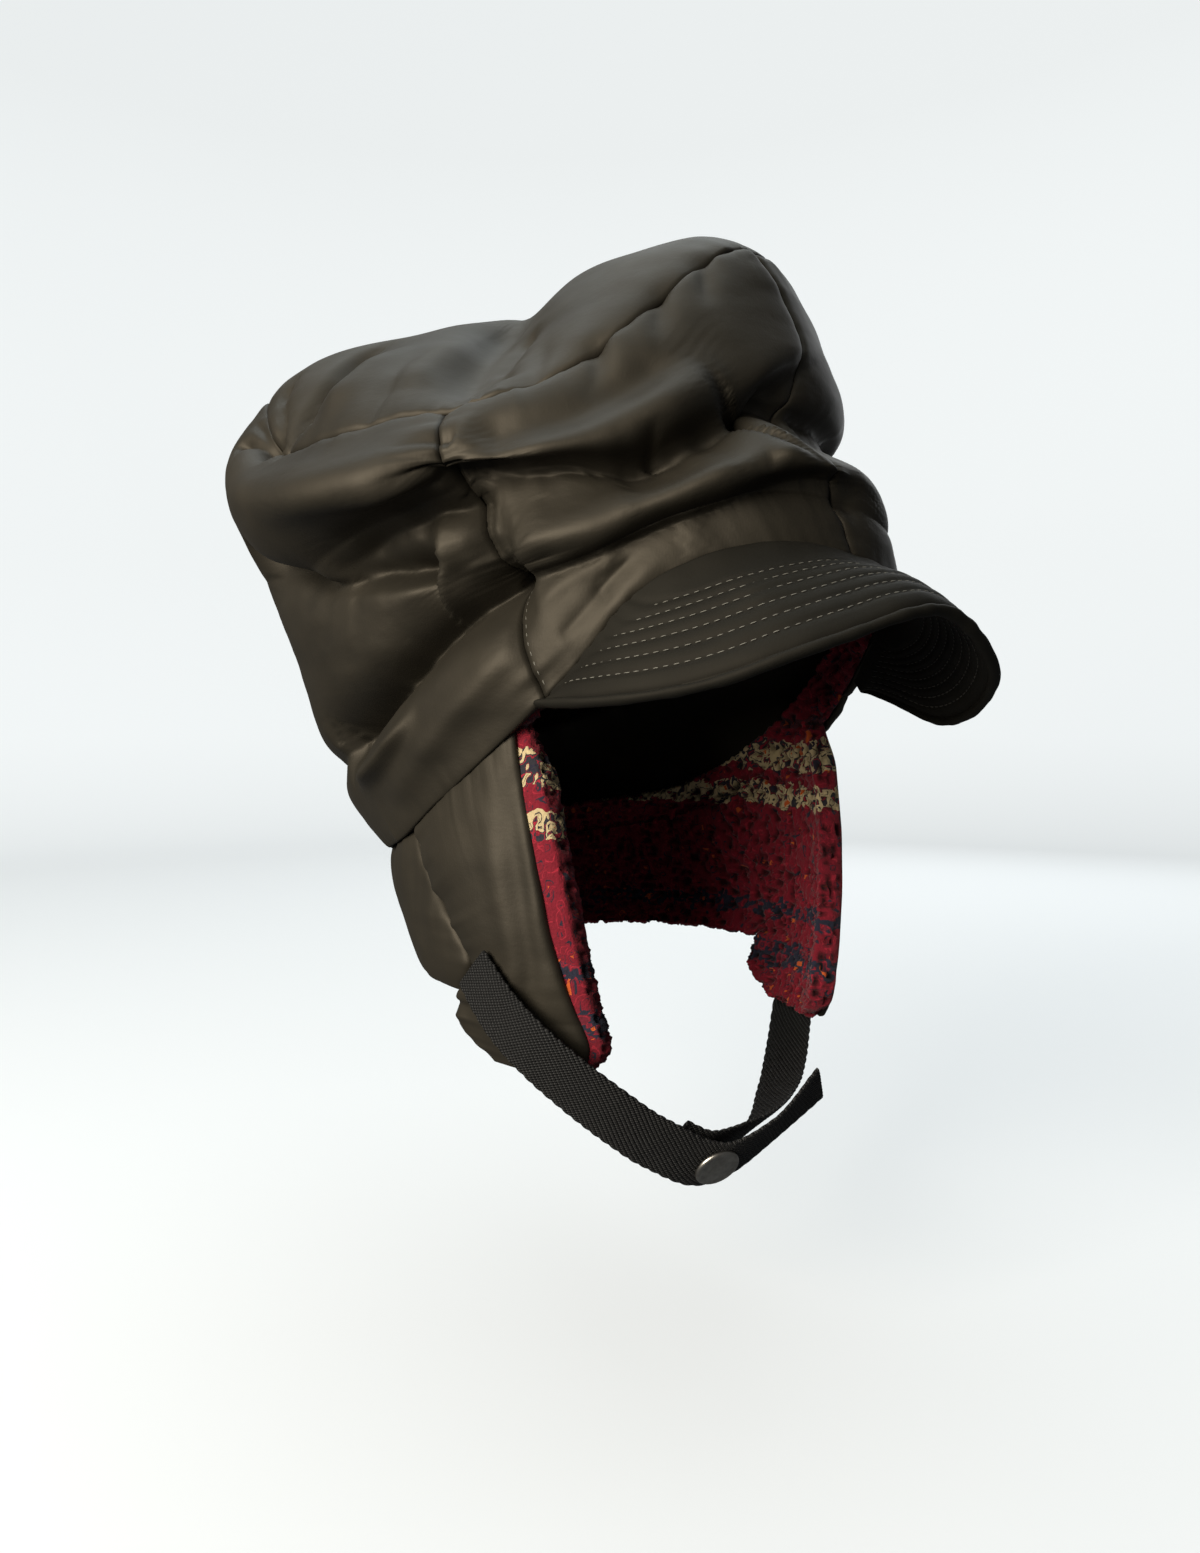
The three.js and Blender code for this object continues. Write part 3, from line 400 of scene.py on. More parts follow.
def value_noise(p, seed=0):
    """Smooth noise from -1 to 1 at points of any scale."""
    p = np.asarray(p, float)
    i = np.floor(p).astype(np.int64)
    f = p - i
    u = f * f * f * (f * (6 * f - 15) + 10)
    total = 0
    for dx in (0, 1):
        for dy in (0, 1):
            for dz in (0, 1):
                weight = np.ones(p.shape[:-1])
                for axis, d in enumerate((dx, dy, dz)):
                    weight = weight * (u[..., axis] if d else 1 - u[..., axis])
                total = total + weight * lattice(i[..., 0] + dx, i[..., 1] + dy, i[..., 2] + dz, seed)
    return 2 * total - 1


def noise_along(distance, seed, line=0.0):
    """Smooth noise from -1 to 1 along a line."""
    return value_noise(np.stack([distance, 0 * distance, 0 * distance + line], -1), seed)


def run_length(points):
    """Distance along a row of points from its start."""
    return np.concatenate([[0], np.cumsum(np.linalg.norm(np.diff(points, axis=0), axis=1))])


FOLD_STEPS = 90  # points along a fold
FOLD_REACH = 3.2  # widths from a fold at which it has died away
BATCH = 20000  # points measured at once
LEAST_RISE = 0.35  # a fold whose side rises less runs up the crown, and its sides are left and right
TUCK_NEAR = 6.0  # how far a crease's tuck reaches into the roll that laps over it
TUCK_FAR = 10.0  # and into the cloth under it
GATHER_LENGTH = 7.0  # small gathers across the sharp creases
GATHER_DEPTH = 1.2
SHARP = 1.5  # a fold below this is a crease


def fold_shift(points, fold):
    """How far a fold pulls each point of the crown in, and how it shifts it along the crown."""
    fold_depth, above, below, sharp, fades, fold_tuck, path = fold
    path = np.array(path, float)
    at = np.linspace(0, len(path) - 1, FOLD_STEPS)
    turn, height = along_rows(path[:, 0], at), along_rows(path[:, 1], at)
    on_line = plain_crown(turn, height)
    out_line, up_line = crown_frame(turn, height)
    side = unit(np.cross(np.gradient(on_line, axis=0), out_line))
    rise = np.sum(side * up_line, -1)
    if np.abs(rise).mean() > LEAST_RISE:
        side = side * np.sign(rise)[:, None]
    reach = FOLD_REACH * max(above, below)
    flat = points.reshape(-1, 3)
    pull, shift = np.zeros(len(flat)), np.zeros(flat.shape)
    near = np.nonzero(((flat > on_line.min(0) - reach) & (flat < on_line.max(0) + reach)).all(1))[0]
    share = np.linspace(0, 1, FOLD_STEPS)
    strength = np.ones(FOLD_STEPS)
    for fade, from_end in zip(fades, (share, 1 - share)):
        if fade:
            strength = strength * smooth(from_end / fade)
    run = run_length(on_line)
    gathers = noise_along(run / GATHER_LENGTH, 5, run[-1])
    for start in range(0, len(near), BATCH):
        part = near[start:start + BATCH]
        difference = flat[part][:, None, :] - on_line[None]
        distance = np.sum(difference * difference, -1)
        k = np.argmin(distance, 1)
        d = np.sqrt(distance[np.arange(len(part)), k])
        is_above = np.sum(difference[np.arange(len(part)), k] * side[k], -1) > 0
        width = np.where(is_above, above, below)
        depth = fold_depth + (GATHER_DEPTH * gathers[k] if sharp < SHARP else 0)
        pull[part] = depth * strength[k] * np.exp(-((d / width) ** sharp))
        lap_reach = np.where(is_above == (fold_tuck > 0), TUCK_NEAR, TUCK_FAR)
        shift[part] = side[k] * (fold_tuck * strength[k] * np.exp(-((d / lap_reach) ** 2)))[:, None]
    return pull.reshape(points.shape[:-1]), shift.reshape(points.shape)


def pucker(along, away, reach, length, seed):
    """Small gathers beside a seam: along and away are in millimetres."""
    p = np.stack([along / length, 0 * along, 0 * along + seed], -1)
    wave = value_noise(p, seed) + 0.55 * value_noise(p * 2.1 + 5, seed + 1)
    return wave * np.exp(-away / reach)


# Millimetres on the crown: for a degree of turn, and for one of height near the tip's seam, on the
# top, along the side seams and over the hem
TURN_SIZE = 1.8
SEAM_TURN_SIZE = 2.0
TIP_RISE, TOP_RISE, SIDE_RISE, HEM_RISE = 28, 100, 27, 26
FAR = 99  # from any side seam, as the top is
TIP_NOTCH, TIP_NOTCH_WIDTH = 1.5, 2.2  # grooves at the seams
SIDE_NOTCH, SIDE_NOTCH_WIDTH = 1.3, 1.5
HEM_NOTCH, HEM_NOTCH_WIDTH = 1.0, 2.0
SEAM_DRAW, SEAM_DRAW_WIDTH = 3.5, 7  # the right seam is drawn in where creases start from it
DRAW_FROM, DRAW_FROM_FADE = 0.5, 0.6  # in levels
DRAW_TO, DRAW_TO_FADE = 4.4, 0.8
TIP_GATHER_TURN = 19  # degrees over which the tip's gathers grow and shrink
SEAM_GATHERS = ((0, 0.5, 21), (RIGHT_SEAM, 1.0, 22), (LEFT_SEAM, 1.0, 23), (BACK_SEAM, 0.8, 24))
LOOSE, FINE = 0.7, 0.1  # height of the loose wrinkles


def from_seam_at(seam, turn):
    """Distance round the crown from a seam, in millimetres."""
    return np.abs((turn - seam + 180) % 360 - 180) * SEAM_TURN_SIZE


def crown_relief(turn, height, points):
    """How every point is pulled in and shifted by creases, folds, seam gathers and loose wrinkles."""
    pull, shift = crease_pull(turn, height), np.zeros(points.shape)
    for fold in FOLDS:
        fold_in, fold_along = fold_shift(points, fold)
        pull, shift = pull + fold_in, shift + fold_along
    to_tip = np.abs(height - TOP) * np.where(height > TOP, TOP_RISE, TIP_RISE)
    gathers = 0.5 + 0.5 * noise_along(turn / TIP_GATHER_TURN, 3)
    pull = pull + (0.2 + 0.5 * gathers) * pucker(turn * TURN_SIZE, to_tip, reach=8, length=5.5, seed=11)
    pull = pull + TIP_NOTCH * np.exp(-to_tip / TIP_NOTCH_WIDTH)
    for seam, amount, seed in SEAM_GATHERS:
        away = np.where(height > TOP, FAR, from_seam_at(seam, turn))
        pull = pull + amount * 0.5 * pucker(height * SIDE_RISE, away, reach=9, length=4.6, seed=seed)
        pull = pull + SIDE_NOTCH * np.exp(-away / SIDE_NOTCH_WIDTH)
    drawn_in = smooth((height - DRAW_FROM) / DRAW_FROM_FADE) * smooth((DRAW_TO - height) / DRAW_TO_FADE)
    pull = pull + SEAM_DRAW * drawn_in * np.exp(-((from_seam_at(RIGHT_SEAM, turn) / SEAM_DRAW_WIDTH) ** 2))
    from_hem = height * HEM_RISE
    pull = pull + HEM_NOTCH * np.exp(-from_hem / HEM_NOTCH_WIDTH)
    pull = pull + 0.45 * pucker(turn * TURN_SIZE, from_hem, reach=6, length=5.0, seed=31)
    loose = value_noise(points / (46, 46, 17), 41) + 0.5 * value_noise(points / (46, 46, 17) * 2.3 + 9, 42)
    return pull + LOOSE * loose + FINE * value_noise(points / (15, 15, 6.5), 43), shift


def crown_surface(turn, height):
    """Outer face and way in."""
    points = plain_crown(turn, height)
    out, _ = crown_frame(turn, height)
    pull, shift = crown_relief(turn, height, points)
    return points - out * pull[..., None] + shift, -out


# Meshes

def add_mesh(name, vertices, faces, material):
    mesh = bpy.data.meshes.new(name)
    mesh.from_pydata((np.asarray(vertices, float) * MM).tolist(), [], faces)
    mesh.validate()
    mesh.materials.append(material)
    mesh.polygons.foreach_set("use_smooth", [True] * len(mesh.polygons))
    mesh.update()
    obj = bpy.data.objects.new(name, mesh)
    bpy.context.scene.collection.objects.link(obj)
    return obj


def grid_faces(columns, rows, first=0, flip=False):
    c, r = np.meshgrid(np.arange(columns - 1), np.arange(rows - 1), indexing="ij")
    a = first + (c * rows + r).ravel()
    quads = np.stack([a, a + rows, a + rows + 1, a + 1], -1)
    if flip:
        quads = quads[:, ::-1]
    return quads.tolist()


def border(columns, rows, first=0):
    """Vertex numbers round a grid, from its first corner along the columns."""
    edge = [first + c * rows for c in range(columns - 1)]
    edge += [first + (columns - 1) * rows + r for r in range(rows - 1)]
    edge += [first + c * rows + rows - 1 for c in range(columns - 1, 0, -1)]
    edge += [first + r for r in range(rows - 1, 0, -1)]
    return edge


def closed_sheet(name, outer, inner, material):
    """A closed solid from two grids. The inner one may have fewer columns and rows by a whole factor."""
    columns, rows = outer.shape[:2]
    inner_columns, inner_rows = inner.shape[:2]
    factor = (columns - 1) // (inner_columns - 1)
    vertices = np.concatenate([outer.reshape(-1, 3), inner.reshape(-1, 3)])
    first = columns * rows
    faces = grid_faces(columns, rows) + grid_faces(inner_columns, inner_rows, first, True)
    fine = border(columns, rows)
    coarse = border(inner_columns, inner_rows, first)
    for i, a in enumerate(coarse):
        b = coarse[(i + 1) % len(coarse)]
        chunk = [fine[(i * factor + k) % len(fine)] for k in range(factor + 1)]
        if factor == 1:
            faces.append([chunk[0], a, b, chunk[1]])
        else:
            half = factor // 2
            faces += [[chunk[k], a, chunk[k + 1]] for k in range(half)]
            faces.append([chunk[half], a, b])
            faces += [[chunk[k], b, chunk[k + 1]] for k in range(half, factor)]
    return add_mesh(name, vertices, faces, material)


def place(obj, slot, *nodes):
    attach(obj, "root")
    if nodes:
        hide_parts(*nodes)
    return obj


# Materials

def new_material(name):
    material = bpy.data.materials.new(name)
    material.use_nodes = True
    tree = material.node_tree
    where = tree.nodes.new("ShaderNodeTexCoord")
    return material, tree, tree.nodes["Principled BSDF"].inputs, where.outputs


def feed(tree, socket, value):
    """Link a socket to another node's output, or set it to a number or colour."""
    if isinstance(value, bpy.types.NodeSocket):
        tree.links.new(value, socket)
    else:
        socket.default_value = value


def calculate(tree, operation, *values):
    node = tree.nodes.new("ShaderNodeMath")
    node.operation = operation
    for socket, value in zip(node.inputs, values):
        feed(tree, socket, value)
    return node.outputs[0]


def mix(tree, factor, first, second, blend="MIX"):
    node = tree.nodes.new("ShaderNodeMix")
    node.data_type = "RGBA"
    node.blend_type = blend
    for key, value in (("Factor", factor), ("A", first), ("B", second)):
        feed(tree, node.inputs[key], value)
    return node.outputs["Result"]


def map_range(tree, value, low=0, high=1, to_low=0, to_high=1):
    node = tree.nodes.new("ShaderNodeMapRange")
    tree.links.new(value, node.inputs["Value"])
    for key, number in (("From Min", low), ("From Max", high), ("To Min", to_low), ("To Max", to_high)):
        node.inputs[key].default_value = number
    return node.outputs[0]


def ramp(tree, source, stops, interpolation="LINEAR"):
    node = tree.nodes.new("ShaderNodeValToRGB")
    node.color_ramp.interpolation = interpolation
    elements = node.color_ramp.elements
    while len(elements) < len(stops):
        elements.new(0.5)
    for element, (position, color) in zip(elements, stops):
        element.position = position
        element.color = (*color, 1)
    tree.links.new(source, node.inputs[0])
    return node.outputs[0]


def noise(tree, where, scale, detail=2, roughness=0.6, stretch=(1, 1, 1)):
    mapping = tree.nodes.new("ShaderNodeMapping")
    mapping.inputs["Scale"].default_value = stretch
    tree.links.new(where, mapping.inputs[0])
    node = tree.nodes.new("ShaderNodeTexNoise")
    tree.links.new(mapping.outputs[0], node.inputs["Vector"])
    for key, number in (("Scale", scale), ("Detail", detail), ("Roughness", roughness)):
        node.inputs[key].default_value = number
    return node.outputs[0]


def bump(tree, height, strength, distance, after=None):
    node = tree.nodes.new("ShaderNodeBump")
    node.inputs["Strength"].default_value = strength
    node.inputs["Distance"].default_value = distance
    tree.links.new(height, node.inputs["Height"])
    if after is not None:
        tree.links.new(after, node.inputs["Normal"])
    return node.outputs[0]


def split_axes(tree, vector):
    node = tree.nodes.new("ShaderNodeSeparateXYZ")
    tree.links.new(vector, node.inputs[0])
    return node.outputs


def point_value(tree, name):
    node = tree.nodes.new("ShaderNodeAttribute")
    node.attribute_name = name
    return node.outputs["Fac"]


def cloth_material(name, dark, light, roughness, shine):
    """Nylon with patches of tone and gloss, fine crinkles and a weave too small to see."""
    material, tree, shader, where = new_material(name)
    position = where["Object"]
    patches = noise(tree, position, 22, 3, 0.55, stretch=(1, 1, 1.6))
    gloss = noise(tree, position, 60, 2, 0.5)
    crinkle = noise(tree, position, 190, 3, 0.6, stretch=(1, 1, 1.8))
    weave = noise(tree, position, 1500, 1, 0.5, stretch=(1, 1, 0.35))
    crinkled = bump(tree, crinkle, 0.08, 0.0012)
    feed(tree, shader["Base Color"], ramp(tree, patches, [(0.3, dark), (0.72, light)]))
    feed(tree, shader["Roughness"], map_range(tree, gloss, 0, 1, roughness - 0.05, roughness + 0.06))
    feed(tree, shader["Normal"], bump(tree, weave, 0.10, 0.0003, crinkled))
    shader["Specular IOR Level"].default_value = shine
    shader["Specular Tint"].default_value = (1.0, 0.89, 0.72, 1)
    return material


YARN_COLORS = {"red": (0.115, 0.005, 0.012), "dark": (0.05, 0.012, 0.016), "cream": (0.34, 0.27, 0.15),
               "navy": (0.012, 0.013, 0.024)}
SECOND_COLORS = {**YARN_COLORS, "cream": (0.016, 0.015, 0.02), "navy": (0.09, 0.008, 0.016)}
FLECKS = [(0.0, 0.12, (0.34, 0.06, 0.012)), (0.27, 0.32, (0.012, 0.010, 0.018)),
          (0.62, 0.68, (0.20, 0.010, 0.020)), (0.86, 0.93, (0.012, 0.011, 0.02))]  # shares of the yarn
SECOND_YARN = 0.53  # share of the yarn in a stripe's first colour
STRIPE_LOW, STRIPE_HIGH = -0.134, 0.066  # heights that the stripes' ramp spans, in metres
STRIPE_WOBBLE = 0.012


def wool_material():
    """Striped yarn of two colours with flecks, with painted shade between its loops and a painted highlight
    on their tops.
    """
    material, tree, shader, where = new_material("looped_wool")
    position = where["Object"]
    height = split_axes(tree, position)["Z"]
    height = calculate(tree, "MULTIPLY_ADD", noise(tree, position, 130), STRIPE_WOBBLE, height)
    height = map_range(tree, height, STRIPE_LOW, STRIPE_HIGH)

    def stripes(colors):
        stops = []
        for z, kind in WOOL_STRIPES[::-1]:
            share = (z * MM + STRIPE_WOBBLE / 2 - STRIPE_LOW) / (STRIPE_HIGH - STRIPE_LOW)
            stops.append((min(max(0, share), 1), colors[kind]))
        return ramp(tree, height, stops, "CONSTANT")

    yarn = point_value(tree, "yarn")
    is_second = calculate(tree, "GREATER_THAN", yarn, SECOND_YARN)
    color = mix(tree, is_second, stripes(YARN_COLORS), stripes(SECOND_COLORS))
    for start, stop, tint in FLECKS:
        is_fleck = calculate(tree, "COMPARE", yarn, (start + stop) / 2, (stop - start) / 2)
        color = mix(tree, is_fleck, color, (*tint, 1))
    # Painted shade and highlight: by the pile's height, the yarn's colour is darkened in the hollows between
    # loops and lightened on the loop tops.
    raised = map_range(tree, point_value(tree, "pile"), -PILE, 0.5 * PILE)
    raised = calculate(tree, "MULTIPLY_ADD", noise(tree, position, 900), 0.5, raised)
    painted_loop_shade = ramp(tree, raised, [(0.15, (0.10, 0.10, 0.12)), (0.75, (0.8, 0.8, 0.8)), (1.0, (1.2, 1.2, 1.2))])
    feed(tree, shader["Base Color"], mix(tree, 1, color, painted_loop_shade, "MULTIPLY"))
    feed(tree, shader["Normal"], bump(tree, noise(tree, position, 1100), 0.7, 0.0006))
    shader["Roughness"].default_value = 0.95
    shader["Sheen Weight"].default_value = 0.08
    shader["Specular IOR Level"].default_value = 0.2
    return material


MAP_SIZE = 100  # millimetres that one unit of the webbing's map stands for
RIB, THREAD = 1.5, 1.1  # widths of the webbing's ribs and threads


def webbing_material():
    """Ribbed webbing, with painted shade in the grooves between its ribs and threads. The mesh's own map runs
    along the strap and across it.
    """
    material, tree, shader, where = new_material("ribbed_webbing")
    axes = split_axes(tree, where["UV"])

    def wave(along, across, length):
        turns = MAP_SIZE * 2 * math.pi / length
        phase = calculate(tree, "MULTIPLY", axes["X"], along * turns)
        return calculate(tree, "SINE", calculate(tree, "MULTIPLY_ADD", axes["Y"], across * turns, phase))

    relief = calculate(tree, "MULTIPLY_ADD", wave(1.0, -0.7, THREAD), 0.6, wave(0.55, 1.0, RIB))
    woven = bump(tree, relief, 0.9, 0.0004)
    # Painted shade: the colour follows the ribs' relief, dark in their grooves and lighter on their crests.
    color = ramp(tree, relief, [(0.1, (0.002, 0.002, 0.002)), (0.9, (0.026, 0.0265, 0.0265))])
    feed(tree, shader["Base Color"], color)
    feed(tree, shader["Normal"], bump(tree, noise(tree, where["Object"], 1300), 0.35, 0.0004, woven))
    shader["Roughness"].default_value = 0.7
    shader["Specular IOR Level"].default_value = 0.3
    return material


def metal_material():
    material, tree, shader, where = new_material("satin_metal")
    stain = noise(tree, where["Object"], 420, 3)
    color = ramp(tree, stain, [(0.3, (0.22, 0.21, 0.19)), (0.7, (0.38, 0.365, 0.33))])
    feed(tree, shader["Base Color"], color)
    feed(tree, shader["Roughness"], ramp(tree, stain, [(0.2, (0.42,) * 3), (0.8, (0.3,) * 3)]))
    shader["Metallic"].default_value = 1
    return material


def thread_material(name, color):
    material, tree, shader, where = new_material(name)
    grain = noise(tree, where["Object"], 2600)
    feed(tree, shader["Base Color"], ramp(tree, grain, [(0.3, tuple(c * 0.6 for c in color)), (0.7, color)]))
    feed(tree, shader["Normal"], bump(tree, grain, 0.5, 0.0003))
    shader["Roughness"].default_value = 0.7
    return material


nylon = cloth_material("satin_nylon", (0.0076, 0.0069, 0.0051), (0.0138, 0.0120, 0.0085), 0.6, 0.34)
visor_cloth = cloth_material("visor_nylon", (0.0045, 0.0045, 0.0038), (0.0075, 0.0074, 0.0062), 0.72, 0.16)
wool = wool_material()
webbing = webbing_material()
metal = metal_material()
pale_thread = thread_material("pale_thread", (0.13, 0.125, 0.105))
dark_thread = thread_material("dark_thread", (0.05, 0.048, 0.04))


# Crown

COLUMN_STEP = 0.7  # degrees
ROWS = 190
INNER_STEP = 2  # the inner face has every second column and row
SEAM_GAP = 0.09  # degrees from a panel's edge to its seam
TIP_GAP = 0.008  # levels below the tip's seam
TOP_COLUMNS = 300
TOP_RINGS = 64
TOP_RIM = 0.998  # share of the tip seam's size that the top's rim has
RING_SPREAD = 0.9  # below 1, the rings are closer at the rim


def crown_panel(name, from_turn, to_turn, node):
    count = int(round((to_turn - from_turn) / COLUMN_STEP))
    count += count % INNER_STEP
    turns = np.linspace(to_turn - SEAM_GAP, from_turn + SEAM_GAP, count + 1)
    heights = np.linspace(0, TOP - TIP_GAP, ROWS + 1)
    t, h = np.meshgrid(turns, heights, indexing="ij")
    outer, inward = crown_surface(t, h)
    inner = (outer + inward * WALL)[::INNER_STEP, ::INNER_STEP]
    place(closed_sheet(name, outer, inner, nylon), "nylon", node)


def crown_top():
    columns, rings = TOP_COLUMNS, TOP_RINGS
    share = np.linspace(0, 1, rings + 1)[:-1]
    ring = TOP_RIM * (1 - share) ** RING_SPREAD
    turns = -np.arange(columns) * 360 / columns
    t, r = np.meshgrid(turns, ring, indexing="ij")
    outer, inward = crown_surface(t, TOP + 1 - r)
    inner = outer + inward * WALL
    centre = np.array([*LEVEL_OVALS["tipSeam"][:2], TIP_CENTRE_HEIGHT])
    centre_pull, _ = crown_relief(np.zeros(1), np.full(1, TOP + 1.0), centre[None])
    centre_out = centre - (0, 0, centre_pull[0])
    centre_in = centre_out - (0, 0, WALL)
    vertices = np.concatenate([outer.reshape(-1, 3), [centre_out], inner.reshape(-1, 3), [centre_in]])
    half = columns * rings + 1
    faces = []
    for c in range(columns):
        d = (c + 1) % columns
        for step in range(rings - 1):
            a, b = c * rings + step, d * rings + step
            faces.append([a, b, b + 1, a + 1])
            faces.append([half + a, half + a + 1, half + b + 1, half + b])
        a, b = c * rings + rings - 1, d * rings + rings - 1
        faces.append([a, b, half - 1])
        faces.append([half + b, half + a, 2 * half - 1])
        faces.append([d * rings, c * rings, half + c * rings, half + d * rings])
    place(add_mesh("crown_tip_cloth", vertices, faces, nylon), "nylon", "crown_tip")


crown_top()
crown_panel("crown_front_right_cloth", 0, RIGHT_SEAM, "crown_front_right")
crown_panel("crown_back_right_cloth", RIGHT_SEAM, BACK_SEAM, "crown_back_right")
crown_panel("crown_back_left_cloth", BACK_SEAM, LEFT_SEAM, "crown_back_left")
crown_panel("crown_front_left_cloth", LEFT_SEAM, 360, "crown_front_left")


# Visor

def visor_point(across, out):
    """The visor's upper face: across it from 0 to 1, and out from its root to its rim."""
    rib = across * (len(VISOR_RIBS) - 1)
    columns = [along_rows(VISOR_RIBS[:, k], rib) for k in range(5)]
    root = level_point("hem", columns[0])
    root[..., 2] -= VISOR_DROP
    rim = np.stack(columns[1:4], -1)
    point = root + (rim - root) * out[..., None]
    point[..., 2] += columns[4] * np.sin(np.pi * out)
    return point


def visor_normal(across, out):
    a, o = np.clip(across, 0.03, 0.97), np.clip(out, 0.05, 0.95)
    along = visor_point(a + 0.01, o) - visor_point(a - 0.01, o)
    outward = visor_point(a, o + 0.03) - visor_point(a, o - 0.03)
    return -unit(np.cross(along, outward))


def visor_length(across):
    return np.linalg.norm(visor_point(across, 1 + 0 * across) - visor_point(across, 0 * across), axis=-1)


ROOT_LIFT = 4.2  # the cloth's root goes up behind the crown's hem
ROOT_IN = 2.2  # and in
ROOT_SHARE = 0.11  # of the visor's length, over which it does
INTO_EDGE = 0.8  # how far the cloth goes into the rolled edge
EDGE_TUCK, EDGE_TUCK_WIDTH = 0.8, 1.2  # how far it is drawn in beside that edge
EDGE_START = 3.4  # from the rim
TOP_WAVE, UNDER_WAVE = 0.35, 0.3  # unevenness of its two faces
STITCH_DEPTH, STITCH_SPREAD = 0.55, 1.0  # grooves along the stitch rows
UNDER_DEPTH, UNDER_SPREAD = 0.4, 0.8


def grooves(from_rim, rows, depth, spread):
    return sum(depth * np.exp(-(((from_rim - row) / spread) ** 2)) for row in rows)


def visor():
    columns, rows = 240, 64
    across = np.linspace(0, 1, columns + 1)
    limit = 1 - (2 * EDGE_RADIUS - INTO_EDGE) / visor_length(across)
    share = np.linspace(1, 0, rows + 1)
    a, s = np.meshgrid(across, share, indexing="ij")
    out = s * limit[:, None]
    points, normal = visor_point(a, out), visor_normal(a, out)
    root = level_point("hem", along_rows(VISOR_RIBS[:, 0], a * (len(VISOR_RIBS) - 1)))
    into_hem = np.array([0, 0, ROOT_LIFT]) - ROOT_IN * unit(root * (1, 1, 0))
    points = points + into_hem * np.exp(-((s / ROOT_SHARE) ** 2))[..., None]
    from_rim = (1 - out) * visor_length(across)[:, None]
    edge = EDGE_TUCK * np.exp(-(from_rim - EDGE_START) / EDGE_TUCK_WIDTH)
    top = TOP_WAVE * value_noise(points / 9, 51) - edge
    top = top - grooves(from_rim, STITCH_ROWS, STITCH_DEPTH, STITCH_SPREAD)
    under = UNDER_WAVE * value_noise(points / 8, 52) - edge
    under = under - grooves(from_rim, UNDER_ROWS, UNDER_DEPTH, UNDER_SPREAD)
    outer = points + normal * top[..., None]
    inner = points - normal * (VISOR_THICK + under)[..., None]
    place(closed_sheet("visor_nylon", outer, inner, visor_cloth), "visor_cloth", "visor")


RIM_LENGTH = 330
EDGE_SIDES = 16
EDGE_HEIGHT = 1.25  # the rolled edge is this much taller than wide


def visor_edge():
    """The rolled edge: a tube with flat ends along the rim."""
    across = np.linspace(0, 1, 401)
    normal = visor_normal(across, 1 + 0 * across)
    rim = visor_point(across, 1 + 0 * across)
    outward = unit(rim - visor_point(across, 0.9 + 0 * across))
    swell = 1 + 0.10 * noise_along(across * RIM_LENGTH / 6, 61)
    middle = rim - outward * EDGE_RADIUS - normal * VISOR_THICK / 2
    first = outward * (EDGE_RADIUS * swell)[:, None]
    second = normal * (EDGE_HEIGHT * EDGE_RADIUS * swell)[:, None]
    angle = -np.arange(EDGE_SIDES) / EDGE_SIDES * 2 * np.pi
    cos, sin = np.cos(angle)[None, :, None], np.sin(angle)[None, :, None]
    vertices = (middle[:, None] + first[:, None] * cos + second[:, None] * sin).reshape(-1, 3)
    faces = []
    for start in range(0, len(vertices) - EDGE_SIDES, EDGE_SIDES):
        for j in range(EDGE_SIDES):
            a, b = start + j, start + (j + 1) % EDGE_SIDES
            faces.append([a, b, b + EDGE_SIDES, a + EDGE_SIDES])
    faces.append(list(range(EDGE_SIDES))[::-1])
    faces.append(list(range(len(vertices) - EDGE_SIDES, len(vertices))))
    place(add_mesh("visor_edge_roll", vertices, faces, visor_cloth), "visor_cloth", "visor_edge")


STITCH_SIDES = 6
STITCH_RINGS = ((0.0, 0.25), (0.2, 0.9), (0.5, 1.0), (0.8, 0.9), (1.0, 0.25))  # place along it, size
STITCH_ARCH = 0.35  # of its width
STITCH_FLAT = 0.6  # its height for its width
FIRST_STITCH = 1.0  # from the row's start


def add_stitches(vertices, faces, points, normals, lengths, pitch, width):
    """Short threads along a row of points, each a slim spindle. lengths gives each thread's length."""
    run = run_length(points)

    def at(distance, values):
        return np.array([np.interp(distance, run, values[:, k]) for k in range(3)])

    for begin in np.arange(FIRST_STITCH, run[-1] - pitch, pitch):
        start, normal = at(begin, points), at(begin, normals)
        thread = at(begin + next(lengths), points) - start
        side = np.cross(normal, unit(thread))
        first = len(vertices)
        for share, size in STITCH_RINGS:
            middle = start + thread * share + normal * width * STITCH_ARCH * math.sin(math.pi * share)
            for k in range(STITCH_SIDES):
                angle = k * 2 * math.pi / STITCH_SIDES
                spoke = math.cos(angle) * side + STITCH_FLAT * math.sin(angle) * normal
                vertices.append(middle + width * size * spoke)
        last = len(vertices) - STITCH_SIDES
        for ring in range(first, last, STITCH_SIDES):
            for k in range(STITCH_SIDES):
                a, b = ring + k, ring + (k + 1) % STITCH_SIDES
                faces.append([a, b, b + STITCH_SIDES, a + STITCH_SIDES])
        faces.append(list(range(first, first + STITCH_SIDES))[::-1])
        faces.append(list(range(last, last + STITCH_SIDES)))


def varied(length):
    """Lengths a little shorter and longer than this one."""
    rng = np.random.default_rng(7)
    while True:
        yield length * (0.85 + 0.25 * rng.random())


def visor_stitches(name, rows, pitch, length, sunk, facing, material, width):
    """Rows of stitches this far under the visor's upper face. facing is 1 on it and -1 below."""
    vertices, faces, lengths = [], [], varied(length)
    across = np.linspace(0.005, 0.995, 900)
    for row in rows:
        out = 1 - row / visor_length(across)
        good = out > 0.03
        normal = visor_normal(across[good], out[good])
        points = visor_point(across[good], out[good]) - normal * sunk
        add_stitches(vertices, faces, points, facing * normal, lengths, pitch, width)
    place(add_mesh(name, vertices, faces, material), "visor_cloth")


